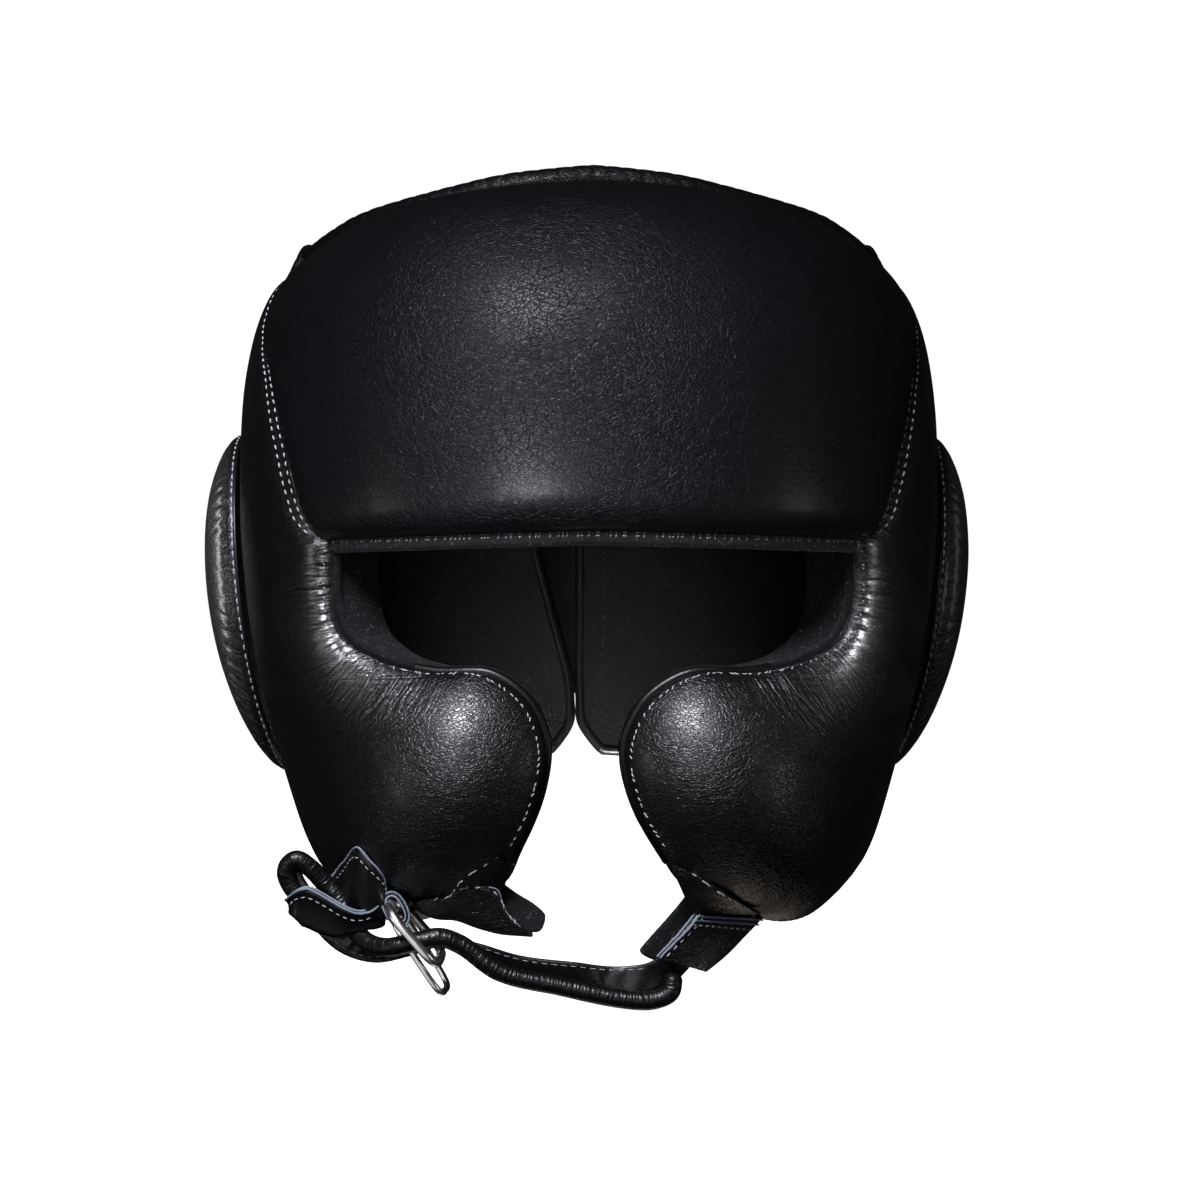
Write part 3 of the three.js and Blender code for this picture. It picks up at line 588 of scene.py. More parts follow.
def frames_along(points):
    """Tangents and two steady cross directions along a line."""
    tangent = unit(np.gradient(points, axis=0))
    side = np.cross(tangent[0], [0.0, 0.0, 1.0])
    if np.linalg.norm(side) < NEARLY_UPRIGHT:
        side = np.array([1.0, 0.0, 0.0])
    sides = []
    for ahead in tangent:
        side = unit(side - ahead * np.dot(side, ahead))
        sides.append(side)
    sides = np.array(sides)
    return tangent, sides, np.cross(tangent, sides)


def leaning(line, towards):
    """Directions square to a line that lean towards a given one."""
    tangent = frames_along(line)[0]
    return unit(towards - tangent * (tangent @ towards)[:, None])


def uneven(depth, length, seed):
    """Swelling of a tube by a share of its radius, wandering over a length in millimetres."""
    return lambda run, turn: 1 + depth * ripple(run / length, turn, seed)


CAP_TURNS = (0, 0.6, 1.1, 1.5)
CAP_RISE = 0.7


def tube_part(points, radius, sides=12, closed=False, swelling=None):
    """Tube along a line. swelling(run, turn) changes its radius, run in millimetres along the line."""
    points = np.asarray(points, float)
    tangent, across, over = frames_along(points)
    if closed:
        tangent = unit(np.roll(points, -1, 0) - np.roll(points, 1, 0))
        across = unit(across - tangent * (across * tangent).sum(1, keepdims=True))
        over = np.cross(tangent, across)
    turns = np.linspace(0, 2 * math.pi, sides, endpoint=False)
    size = np.broadcast_to(np.asarray(radius, float), (len(points),))[:, None] * np.ones(sides)
    if swelling is not None:
        size = size * swelling(run_lengths(points, 0)[:, None], turns[None, :])
    circle = across[:, None] * np.cos(turns)[None, :, None] + over[:, None] * np.sin(turns)[None, :, None]
    rings = points[:, None] + circle * size[..., None]
    if closed:
        return [grid_part(rings, closed_rows=True, closed_columns=True, flip=True)]
    parts = [grid_part(rings, closed_columns=True, flip=True)]
    for end, step in ((0, -1), (-1, 1)):
        rise = tangent[end] * step * size[end].mean()
        spokes = rings[end] - points[end]
        cap = [points[end] + spokes * math.cos(t) + rise * math.sin(t) * CAP_RISE for t in CAP_TURNS]
        parts.append(grid_part(np.array(cap), closed_columns=True, flip=step > 0))
    return parts


def curve_through(points, count, closed=False):
    """Smooth line through points, evenly spaced."""
    points = np.asarray(points, float)
    if closed:
        points = np.concatenate([points[-3:], points, points[:4]])
    knots = run_lengths(points, 0)
    knots = np.concatenate([[0], np.cumsum(np.sqrt(np.diff(knots)))])
    low, high = (knots[3], knots[-4]) if closed else (knots[0], knots[-1])
    fine = np.linspace(low, high, 8 * count)
    line = np.stack([smooth(knots, points[:, c], fine) for c in range(3)], axis=1)
    length = run_lengths(line, 0)
    even = np.linspace(0, length[-1], count, endpoint=not closed)
    return along_line(line, length, even)


# Finishes


class Tap:
    """A socket of a finish's node tree. Arithmetic on it adds Math nodes."""

    def __init__(self, finish, socket):
        self.finish, self.socket = finish, socket

    def maths(self, operation, first, second=0.0):
        return self.finish.node("ShaderNodeMath", {"operation": operation}, {0: first, 1: second})

    def __add__(self, other):
        return self.maths("ADD", self, other)

    def __sub__(self, other):
        return self.maths("SUBTRACT", self, other)

    def __rsub__(self, other):
        return self.maths("SUBTRACT", other, self)

    def __mul__(self, other):
        return self.maths("MULTIPLY", self, other)

    def wave(self):
        """Rounded ridges with sharp valleys, one for each half turn."""
        return self.maths("ABSOLUTE", self.maths("SINE", self))

    def at_most(self, limit):
        return self.maths("MINIMUM", self, limit)

    def at_least(self, limit):
        return self.maths("MAXIMUM", self, limit)

    __radd__ = __add__
    __rmul__ = __mul__


class Finish:
    """A material and the one method that adds its nodes."""

    def __init__(self, name):
        self.material = bpy.data.materials.new(name)
        self.material.use_nodes = True
        self.tree = self.material.node_tree
        self.shader = self.tree.nodes["Principled BSDF"]

    def node(self, kind, settings=None, inputs=None, output=0):
        node = self.tree.nodes.new(kind)
        for name, value in (settings or {}).items():
            setattr(node, name, value)
        for key, value in (inputs or {}).items():
            self.feed(self.find(node.inputs, key), value)
        return Tap(self, self.find(node.outputs, output))

    @staticmethod
    def find(sockets, key):
        if isinstance(key, int):
            return sockets[key]
        return next((s for s in sockets if s.identifier == key), None) or sockets[key]

    def feed(self, socket, value):
        if isinstance(value, Tap):
            self.tree.links.new(value.socket, socket)
        else:
            socket.default_value = value

    def shades(self, factor, colour, dark, light):
        """Base colour between two shades of a colour."""
        first, second = ((*(share * c for c in colour), 1) for share in (dark, light))
        inputs = {"Factor_Float": factor, "A_Color": first, "B_Color": second}
        self.set(base_color=self.node("ShaderNodeMix", {"data_type": "RGBA"}, inputs, "Result_Color"))

    def place(self):
        return self.node("ShaderNodeTexCoord", output="Object")

    def noise(self, where, size, detail=3.0, roughness=0.55):
        """Noise with features of a size in millimetres."""
        inputs = {"Vector": where, "Scale": 1 / (size * MM), "Detail": detail, "Roughness": roughness}
        return self.node("ShaderNodeTexNoise", None, inputs, "Fac")

    def vectors(self, operation, first, second):
        """Vector maths of two vectors, or of a vector and a number that scales it."""
        inputs = {0: first, "Scale" if operation == "SCALE" else 1: second}
        return self.node("ShaderNodeVectorMath", {"operation": operation}, inputs)

    def wandering(self, where, size, reach):
        """Coordinates pushed about by noise, by at most about a reach in millimetres."""
        inputs = {"Vector": where, "Scale": 1 / (size * MM), "Detail": 2.0}
        push = self.node("ShaderNodeTexNoise", None, inputs, "Color")
        centred = self.vectors("SUBTRACT", push, (0.5, 0.5, 0.5))
        return self.vectors("ADD", where, self.vectors("SCALE", centred, 2 * reach * MM))

    def cells(self, where, size):
        """Distance to the edges of cells of a size in millimetres, 0 at an edge and about 0.5 inside."""
        inputs = {"Vector": where, "Scale": 1 / (size * MM)}
        return self.node("ShaderNodeTexVoronoi", {"feature": "DISTANCE_TO_EDGE"}, inputs, "Distance")

    def folds(self):
        """Run, gap and depth that make_piece stored on the mesh."""
        return self.node("ShaderNodeAttribute", {"attribute_name": "folds"}, output="Vector")

    def pucker_depth(self):
        return self.node("ShaderNodeSeparateXYZ", None, {0: self.folds()}, "Z")

    def puckers(self):
        """Height in millimetres of the creases that the folds attribute of a mesh asks for."""
        folds, depth = self.folds(), self.pucker_depth()
        run = self.node("ShaderNodeSeparateXYZ", None, {0: folds}, "X")
        drawn = self.vectors("MULTIPLY", folds, (MM, 0.25 * MM, 0))
        bend = self.noise(drawn, 4.5, 2.0)
        wide = (run * 1.3 + bend * 15).wave()
        close = (run * 2.4 + bend * 24).wave()
        short = (self.cells(self.wandering(drawn, 2.5, 1.0), 1.3) * 3.0).at_most(1.0)
        broken = self.noise(drawn, 2.5, 2.0)
        return depth * (wide * broken + close * 0.3 + short * 0.45)

    def raise_by(self, height, depth):
        """Bump of a depth in millimetres into the shader's Normal."""
        inputs = {"Strength": 1.0, "Distance": depth * MM, "Height": height}
        self.feed(self.shader.inputs["Normal"], self.node("ShaderNodeBump", None, inputs))

    def set(self, **values):
        for name, value in values.items():
            self.feed(self.shader.inputs[name.replace("_", " ").title().replace("Ior", "IOR")], value)


def settings():
    return bpy.context.scene.head_guard


def leather_look(f, dull, shine, crease):
    """Black leather: two sizes of creased grain, puckers near some edges, slight changes of colour."""
    look = settings().leather
    where = f.place()
    lying = f.vectors("MULTIPLY", where, (1, 1, 1.7))
    fine = f.cells(f.wandering(lying, 4, 1.2), look.grain)
    creases = f.cells(f.wandering(lying, 9, 3.4), look.grain * 2.4)
    mask = f.noise(where, 16, 2.0)
    pores = f.noise(where, 0.5, 3.0)
    cloud = f.noise(where, 30, 3.0)
    furrow = (fine * 9.0).at_most(1.0)
    fold = (creases * 13.0).at_most(1.0)
    grain = furrow * 0.26 + fold * mask * crease + pores * 0.06
    f.raise_by(grain * (0.1 * look.bump) + f.puckers(), 1.0)
    f.set(coat_weight=(f.pucker_depth() * 2.2).at_most(1.0), coat_roughness=0.25)
    f.shades(cloud * 0.7 + furrow * 0.25, look.colour, 1.0, 1.8)
    f.set(roughness=look.roughness + dull + cloud * 0.1 + pores * 0.08 - furrow * 0.05)
    f.set(specular_ior_level=shine)


def strap_leather(f):
    """Thin glossy leather of the straps, the keeper and the rolls."""
    look = settings().leather
    where = f.place()
    wrinkle = f.cells(f.wandering(where, 5, 1.2), 1.5)
    pores = f.noise(where, 0.4, 2.0)
    cloud = f.noise(where, 12, 3.0)
    fold = (wrinkle * 6.0).at_most(1.0)
    f.raise_by(fold * 0.02 + pores * 0.006 + f.puckers(), 1.0)
    f.shades(cloud, look.colour, 0.9, 1.9)
    f.set(roughness=look.roughness + 0.02 + cloud * 0.12)
    f.set(specular_ior_level=0.36)


def suede_look(f, tone):
    """Charcoal suede with a short nap and lighter specks where its noise peaks; its colour and sheen are scaled down,
    as painted shade, for the lining inside the back.
    """
    where = f.place()
    nap = f.noise(where, 0.75, 3.0, 0.6)
    tufts = f.noise(where, 2.2, 3.0, 0.6)
    cloud = f.noise(where, 18, 2.0)
    f.raise_by(nap * 0.14 + tufts * 0.22, 1.0)
    fleck = ((nap * 0.7 + tufts * 0.3) * 8.0 - 4.5).at_least(0.0).at_most(1.0)
    # Colour scaled by the tone; the back lining's low tone is painted shade
    f.shades(fleck * 0.8 + cloud * 0.08, settings().suede.colour, 0.4 * tone, 9.0 * tone)
    f.set(roughness=0.9 + nap * 0.08)
    f.set(specular_ior_level=0.15, sheen_weight=0.05 * tone, sheen_roughness=0.5)


def sewing_thread(f):
    """Pale twisted thread."""
    where = f.place()
    fuzz = f.noise(where, 0.35, 2.0)
    cloud = f.noise(where, 9, 2.0)
    f.shades(fuzz * 0.6 + cloud * 0.4, settings().thread.colour, 0.55, 1.15)
    f.raise_by(fuzz, 0.06)
    f.set(roughness=0.55 + fuzz * 0.2)


def raw_edge(f):
    """Cut edge of leather, pale and fibrous."""
    where = f.place()
    fibre = f.noise(where, 0.5, 4.0, 0.7)
    cloud = f.noise(where, 4, 2.0)
    f.shades(fibre * 0.7 + cloud * 0.3, settings().thread.edge, 0.22, 1.2)
    f.raise_by(fibre, 0.2)
    f.set(roughness=0.8 + fibre * 0.15)


def polished_steel(f):
    """Bright wire with faint handling marks."""
    look = settings().steel
    where = f.place()
    smear = f.noise(where, 3.5, 3.0)
    marks = f.noise(where, 0.6, 3.0)
    f.shades(smear, look.colour, 0.82, 1.0)
    f.set(roughness=look.roughness + smear * 0.12 + marks * 0.05)
    f.raise_by(marks, 0.006)
    f.set(metallic=1.0)


# Slot, look and amounts of each finish: leather of the cushions and of the broad forehead panel, suede of
# the handled edges, and the same suede darkened as painted shade for the inside of the back
FINISHES = {
    "grained_leather": ("leather", leather_look, dict(dull=0.01, shine=0.52, crease=0.42)),
    "matt_leather": ("leather", leather_look, dict(dull=0.02, shine=0.11, crease=0.7)),
    "strap_leather": ("leather", strap_leather, {}),
    "napped_suede": ("suede", suede_look, dict(tone=0.6)),
    # Same suede with its colour lowered, painted shade for the inside of the back
    "painted_shade_suede": ("suede", suede_look, dict(tone=0.2)),
    "sewing_thread": (None, sewing_thread, {}),
    "raw_edge": (None, raw_edge, {}),
    "polished_steel": ("steel", polished_steel, {}),
}


def finish(name):
    """A finish made once and used by every piece that asks for it."""
    if name not in bpy.data.materials:
        _, build, amounts = FINISHES[name]
        build(Finish(name), **amounts)
    return bpy.data.materials[name]


# Sizes and colours that a user would change


def colour_setting(name, description, default):
    return FloatVectorProperty(
        name=name, description=description, subtype="COLOR", size=3, min=0, max=1, default=default,
    )


def amount_setting(name, description, most, default, least=0.0, subtype="NONE"):
    return FloatProperty(name=name, description=description, subtype=subtype, min=least, max=most, default=default)


class LeatherSettings(bpy.types.PropertyGroup):
    colour: colour_setting("Colour", "Base colour of the leather", (0.0016, 0.0017, 0.002))
    roughness: amount_setting("Roughness", "How dull the leather is", 1, 0.27, subtype="FACTOR")
    grain: amount_setting("Grain", "Size of the fine grain, in millimetres", 6, 1.3, least=0.4)
    bump: amount_setting("Bump", "Strength of the grain", 4, 1.9)


class SuedeSettings(bpy.types.PropertyGroup):
    colour: colour_setting("Colour", "Base colour of the suede", (0.0135, 0.014, 0.0158))


class ThreadSettings(bpy.types.PropertyGroup):
    colour: colour_setting("Colour", "Colour of the sewing thread", (0.42, 0.42, 0.44))
    edge: colour_setting("Cut edge", "Colour of cut leather edges", (0.23, 0.26, 0.32))
    pitch: amount_setting("Pitch", "Distance from stitch to stitch, in millimetres", 8, 3.1, least=1)
    radius: amount_setting("Radius", "Radius of the thread, in millimetres", 1, 0.32, least=0.1)


class SteelSettings(bpy.types.PropertyGroup):
    colour: colour_setting("Colour", "Colour of the wire rings", (0.86, 0.85, 0.84))
    roughness: amount_setting("Roughness", "How dull the wire is", 1, 0.2, subtype="FACTOR")


class PadSettings(bpy.types.PropertyGroup):
    pucker: amount_setting("Pucker", "Depth of the puckers at the eye corners, in millimetres", 3, 0.95)
    slack: amount_setting("Slack", "Depth of the slow dents in the pads, in millimetres", 3, 0.22)


class StageSettings(bpy.types.PropertyGroup):
    distance: FloatProperty(
        name="Distance", description="From the camera to its target", unit="LENGTH", min=0.3, max=10, default=1.3,
    )
    azimuth: FloatProperty(
        name="Azimuth", description="Camera's turn round the guard", subtype="ANGLE", default=math.radians(-1.2),
    )
    elevation: FloatProperty(
        name="Elevation", description="Camera's height as an angle", subtype="ANGLE", default=math.radians(3),
    )
    width: FloatProperty(
        name="Width", description="Width of the view at the target", unit="LENGTH", min=0.1, max=5, default=0.3816,
    )
    light: amount_setting("Light", "Strength of all the lamps", 10, 1.0)


class GuardSettings(bpy.types.PropertyGroup):
    leather: PointerProperty(type=LeatherSettings, name="Leather", description="Leather of pads and straps")
    suede: PointerProperty(type=SuedeSettings, name="Suede", description="Lining")
    thread: PointerProperty(type=ThreadSettings, name="Thread", description="Sewing")
    steel: PointerProperty(type=SteelSettings, name="Steel", description="Rings")
    pads: PointerProperty(type=PadSettings, name="Pads", description="Shape of the pads")
    stage: PointerProperty(type=StageSettings, name="Stage", description="Camera and light")


# Forehead


def seam_at(t):
    return {name: table_at(SEAM, name, t) for name in ("az", "el", "middle")}


def forehead_grid():
    """Directions and heights of the forehead panel, from its top edge down."""
    probe = np.linspace(1, 0, 80)
    length = run_lengths(form_point(0 * probe, seam_at(probe)["middle"]), 0)
    down = graded(length[-1], 40, 15, 1.7)
    seam = seam_at(np.interp(down, length, probe))
    reach = seam["az"] - SEAM_GAP_DEG
    across = graded(200, 22, 22, 2.0) / 100 - 1
    az = reach[:, None] * across[None]
    el = seam["middle"][:, None] + (seam["el"] - seam["middle"])[:, None] * np.abs(across[None]) ** ROW_BEND
    base = form_point(az, el)
    side = run_lengths(base, 1)
    side = np.minimum(side, side[:, -1:] - side)
    top = run_lengths(base, 0)
    bottom = top[-1:] - top
    corner = TOP_EDGE[0] + (TOP_CORNER - TOP_EDGE[0]) * (az / SEAM[-1]["az"]) ** 2
    thick = softest([
        swell(bottom, BROW_EDGE, FOREHEAD_FULL),
        swell(top, (corner, TOP_EDGE[1]), FOREHEAD_FULL),
        swell(side, SEAM_EDGE, FOREHEAD_FULL),
    ])
    wrap = np.clip(1 - bottom / BROW_EDGE[1], 0, 1)
    split = LINING_THIN + (BROW_LINING - LINING_THIN) * wrap
    return dict(az=az, el=el, thick=thick, split=split, side=side, top=top, bottom=bottom, base=base)


class GUARD_OT_forehead(bpy.types.Operator):
    """Forehead panel with its suede lining"""

    bl_idname = "guard.forehead"
    bl_label = "Forehead"

    # Lengths in millimetres: of a dent and of the way from an edge to full dents, then the gathers' place and
    # width above the brow and the pitch of their waves
    DENT, DENT_RAMP = 16, 12
    GATHERS = dict(above=5, wide=6, pitch=2.1, wander=9, share=0.28)
    FOLD_REACH = 13
    CORD_RADIUS = 0.75

    def execute(self, context):
        grid = forehead_grid()
        az, el, split = grid["az"], grid["el"], grid["split"]
        outer = self.skin_height(grid)
        parts = layer_parts(az, el, split + LAYER_GAP / 2, outer)
        skin = above(az, el, outer)
        for column in (0, -1):
            line = skin[4:-1, column] + 0.2
            parts += tube_part(curve_through(line[::4], 160), self.CORD_RADIUS, 8)
        make_piece("forehead_leather", parts, "matt_leather", "forehead_pad", folds=self.folds(grid))
        lining = layer_parts(az, el, np.zeros_like(outer), split - LAYER_GAP / 2)
        make_piece("forehead_suede", lining, "napped_suede", "forehead_lining")
        return {"FINISHED"}

    def skin_height(self, grid):
        """Height of the leather: slow dents, and fine gathers along the brow edge."""
        pads, wave = settings().pads, self.GATHERS
        x, z = grid["base"][..., 0], grid["base"][..., 2]
        dents = pads.slack * ripple(x / self.DENT, z / self.DENT, 3)
        inside = np.minimum(grid["side"], np.minimum(grid["bottom"], grid["top"]))
        dents = dents * np.clip(inside / self.DENT_RAMP, 0, 1)
        near = np.exp(-((grid["bottom"] - wave["above"]) / wave["wide"]) ** 2) * (0.35 + 0.65 * (np.abs(x) / 80))
        bend = 1.2 * ripple(x / wave["wander"], z / wave["wander"], 5)
        lines = np.abs(np.sin(x / wave["pitch"] + bend)) ** 0.8
        return grid["thick"] + dents - pads.pucker * wave["share"] * near * (1 - lines)

    def folds(self, grid):
        """Fine puckers above the brow, deeper towards its ends."""
        bottom = grid["bottom"]
        ends = np.clip((np.abs(grid["az"]) / SEAM[0]["az"]) ** 4, 0, 1)
        depth = 0.3 * np.exp(-((bottom / self.FOLD_REACH) ** 2)) * np.clip(bottom / 2, 0, 1) * (0.3 + ends)
        return np.stack([run_lengths(grid["base"], 1), bottom, depth], axis=-1)


# Side pads


def cheek_table():
    """Rows of a side pad: the seam from the top down, then the eye corner and the lobe."""
    rows, last = [], len(SEAM) - 1
    for k, seam in enumerate(reversed(SEAM)):
        rows.append(dict(
            az=seam["az"] + SEAM_GAP_DEG, el=seam["el"], rear_az=CHEEK_REAR_AZ, rear_el=CHEEK_REAR_TOP * (1 - k / last),
            thick=seam["edge"], round=SEAM_EDGE[1], lining=LINING_THIN if k < last else CORNER_LINING, lean=0,
        ))
    return rows + CHEEK_ROWS


class Cheek:
    """Side pad: rows run along its front edge, distances go back from there."""

    # Rows of the table, counted from the brow corner, where the lobe starts to swell, is full, begins and ends
    SWELL_ROW, FULL_ROW, LOBE_ROW, LOW_ROW = 2, 7, 6, 10
    # Extra fullness of the lobe over the cheek, an oval in the form's frame
    PILLOW = dict(x=32, z=-177 + CROWN_RISE, half_x=48, half_z=54, rise=11, ramp=40)
    # Puckers along the front edge: place counted from the brow corner, strength and reach back from the edge
    PUCKERS = [
        (-75, 0.0, 5), (-40, 0.22, 6), (-12, 0.55, 8), (4, 0.9, 12), (18, 1.0, 17), (38, 1.0, 21),
        (48, 0.7, 17), (58, 0.25, 10), (70, 0.0, 7), (115, 0.0, 6), (170, 0.06, 6), (230, 0.16, 8),
    ]
    # Pitch of the wide and of the fine puckers, in millimetres
    PITCH, FINE_PITCH = 3.0, 1.7
    # Flat strip beside the seam: places and width of the two sewn rows, and how far it reaches
    SEWN_ROWS, SEWN_WIDE, STRIP_REACH = (1.9, 4.6), 0.6, 5.8

    def __init__(self, side):
        table = cheek_table()
        corner = len(SEAM) - 1
        knots = run_lengths(form_point([r["az"] for r in table], [r["el"] for r in table]), 0)
        self.brow, self.lobe, self.low = (knots[corner + row] for row in (0, self.LOBE_ROW, self.LOW_ROW))
        self.side, self.down = side, self.rows_down(knots[-1])
        at = {name: smooth(knots, [r[name] for r in table], self.down) for name in table[0]}
        start = at["az"] + side * LOBE_LEAN * at["lean"]
        u = self.shares_back(start, at)
        self.az = side * (start[:, None] + (at["rear_az"] - start)[:, None] * u)
        self.el = at["el"][:, None] + (at["rear_el"] - at["el"])[:, None] * u
        self.base = base = form_point(self.az, self.el)
        self.front = run_lengths(base, 1)
        self.rear = self.front[:, -1:] - self.front
        self.top = run_lengths(base, 0)
        self.bottom = self.top[-1:] - self.top
        first, full = knots[corner + self.SWELL_ROW], knots[corner + self.FULL_ROW]
        lobe = np.clip((self.down - first) / (full - first), 0, 1)
        lobe = lobe**2 * (3 - 2 * lobe)
        edge_height = at["thick"] * (1 - lobe) + (at["lining"] + LOBE_EDGE) * lobe
        edge = np.stack([edge_height, at["round"] * (1 + 0.25 * lobe), lobe, self.down], axis=-1)
        self.near, round_gap, blended = self.to_edge(base, edge)
        edge_height, run, lobe, self.run = np.moveaxis(blended, -1, 0)
        share = np.clip(round_gap / run, 0, 1)
        rise = np.sqrt(1 - (1 - share) ** 2)
        rise = rise + 0.5 * lobe * (np.sin(share * math.pi / 2) - rise)
        top_edge = CHEEK_TOP_EDGE[0] + (CHEEK_TOP_REAR - CHEEK_TOP_EDGE[0]) * u
        thick = softest([
            edge_height + (CHEEK_FULL - edge_height) * rise,
            swell(self.rear, CHEEK_REAR_EDGE, CHEEK_FULL),
            swell(self.top, (top_edge, CHEEK_TOP_EDGE[1]), CHEEK_FULL),
            swell(self.bottom, CHEEK_BOTTOM_EDGE, CHEEK_FULL),
        ])
        wrap = np.clip(1 - self.front / at["round"][:, None], 0, 1)
        self.split = LINING_THIN + (np.maximum(at["lining"], LINING_THIN)[:, None] - LINING_THIN) * wrap
        self.outer = thick + self.pillow(base) + self.creases()
        self.surface = Surface(self.down, self.front, above(self.az, self.el, self.outer))

    def rows_down(self, total):
        """Places of the rows along the front edge, finer from the seam's end to the lobe."""
        down = graded(total, 24, 29, 1.3)
        fine = np.arange(self.brow - 30, self.brow + 100, 0.5)
        return np.concatenate([down[down < fine[0] - 0.2], fine, down[down > fine[-1] + 0.2]])

    @staticmethod
    def shares_back(start, at):
        """Shares of the way from the front edge to the rear edge, the same in every row."""
        span = np.linspace(0, 1, 40)
        probe_az = start[:, None] + (at["rear_az"] - start)[:, None] * span
        probe_el = at["el"][:, None] + (at["rear_el"] - at["el"])[:, None] * span
        longest = run_lengths(form_point(probe_az, probe_el), 1)[:, -1].max()
        spread = graded(longest, 34, 18, 1.7) / longest
        return np.clip(spread[None, :] * np.ones((len(start), 1)), 0, 1)

    def to_edge(self, base, edge):
        """Distance of each point to the front edge, a distance that takes in the whole edge and so has no
        ridge in the lobe, and the edge's values blended alike."""
        nearest, ramp = 0.3, 5
        near, whole = (np.empty(base.shape[:2]) for _ in range(2))
        blended = np.empty((*base.shape[:2], edge.shape[-1]))
        step = np.gradient(self.down)
        for i, row in enumerate(base):
            gaps = np.linalg.norm(row[:, None] - base[None, :, 0], axis=-1)
            near[i] = gaps.min(axis=1)
            weight = step / np.maximum(gaps, nearest) ** 4
            pull = weight.sum(axis=1)
            whole[i] = (pull * 2 / math.pi) ** (-1 / 3)
            blended[i] = weight @ edge / pull[:, None]
        return near, near + (whole - near) * np.clip(near / ramp, 0, 1), blended

    def pillow(self, base):
        lobe, (x, y, z) = self.PILLOW, np.moveaxis(base, -1, 0)
        away = ((np.abs(x) - lobe["x"]) / lobe["half_x"]) ** 2 + ((z - lobe["z"]) / lobe["half_z"]) ** 2
        return lobe["rise"] * np.clip(1 - away, 0, 1) ** 2 * np.clip(-y / lobe["ramp"], 0, 1)

    def creases(self):
        """Puckers, slow dents and the sewn strip, and the folds that the leather's bump draws."""
        pads, seed = settings().pads, 11 if self.side > 0 else 17
        s, d = self.run - self.brow, self.near
        places, *amounts = zip(*self.PUCKERS)
        strength, reach = (np.interp(s, places, amount) for amount in amounts)
        wander = 1.6 * ripple(s / 14, d / 10, seed) + 0.5 * ripple(s / 3.5, d / 6, seed + 1)
        wave = np.abs(np.sin(math.pi * s / self.PITCH + wander))
        finer = np.abs(np.sin(math.pi * s / self.FINE_PITCH + 1.7 * wander))
        valleys = (1 - wave) ** 1.6 * 0.75 + (1 - finer) ** 1.4 * 0.35
        ragged = np.clip(0.75 + 0.55 * ripple(s / 2.6, d / 30, seed + 2), 0.1, 1.4)
        falloff = np.exp(-((d / (reach * ragged)) ** 2)) * np.clip(d / 0.7, 0.2, 1)
        patch = np.clip(0.7 + 0.6 * ripple(s / 9, d / 9, seed + 3), 0.15, 1.3)
        pucker = -pads.pucker * strength * falloff * patch * valleys
        spread = np.exp(-((d / (1.6 * reach * ragged)) ** 2)) * np.clip(d / 1.5, 0, 1)
        self.folds = np.stack([s, d, 1.2 * pads.pucker * strength * spread * patch], axis=-1)
        x, y, z = np.moveaxis(self.base, -1, 0)
        inside = np.minimum(np.minimum(self.rear, self.front), np.minimum(self.top, self.bottom))
        dents = pads.slack * np.clip(inside / 14, 0, 1) * ripple(x / 15 + y / 17, z / 15, seed + 4)
        return pucker + dents + self.sewn_strip()

    def sewn_strip(self):
        """Flat strip beside the seam where the two rows of stitches hold the leather down."""
        along = np.clip((self.brow + 6 - self.down[:, None]) / 22, 0, 1)
        hold = sum(np.exp(-((self.front - place) / self.SEWN_WIDE) ** 2) for place in self.SEWN_ROWS)
        return -along * (0.4 * hold + 0.7 * np.exp(-((self.front / self.STRIP_REACH) ** 4)))


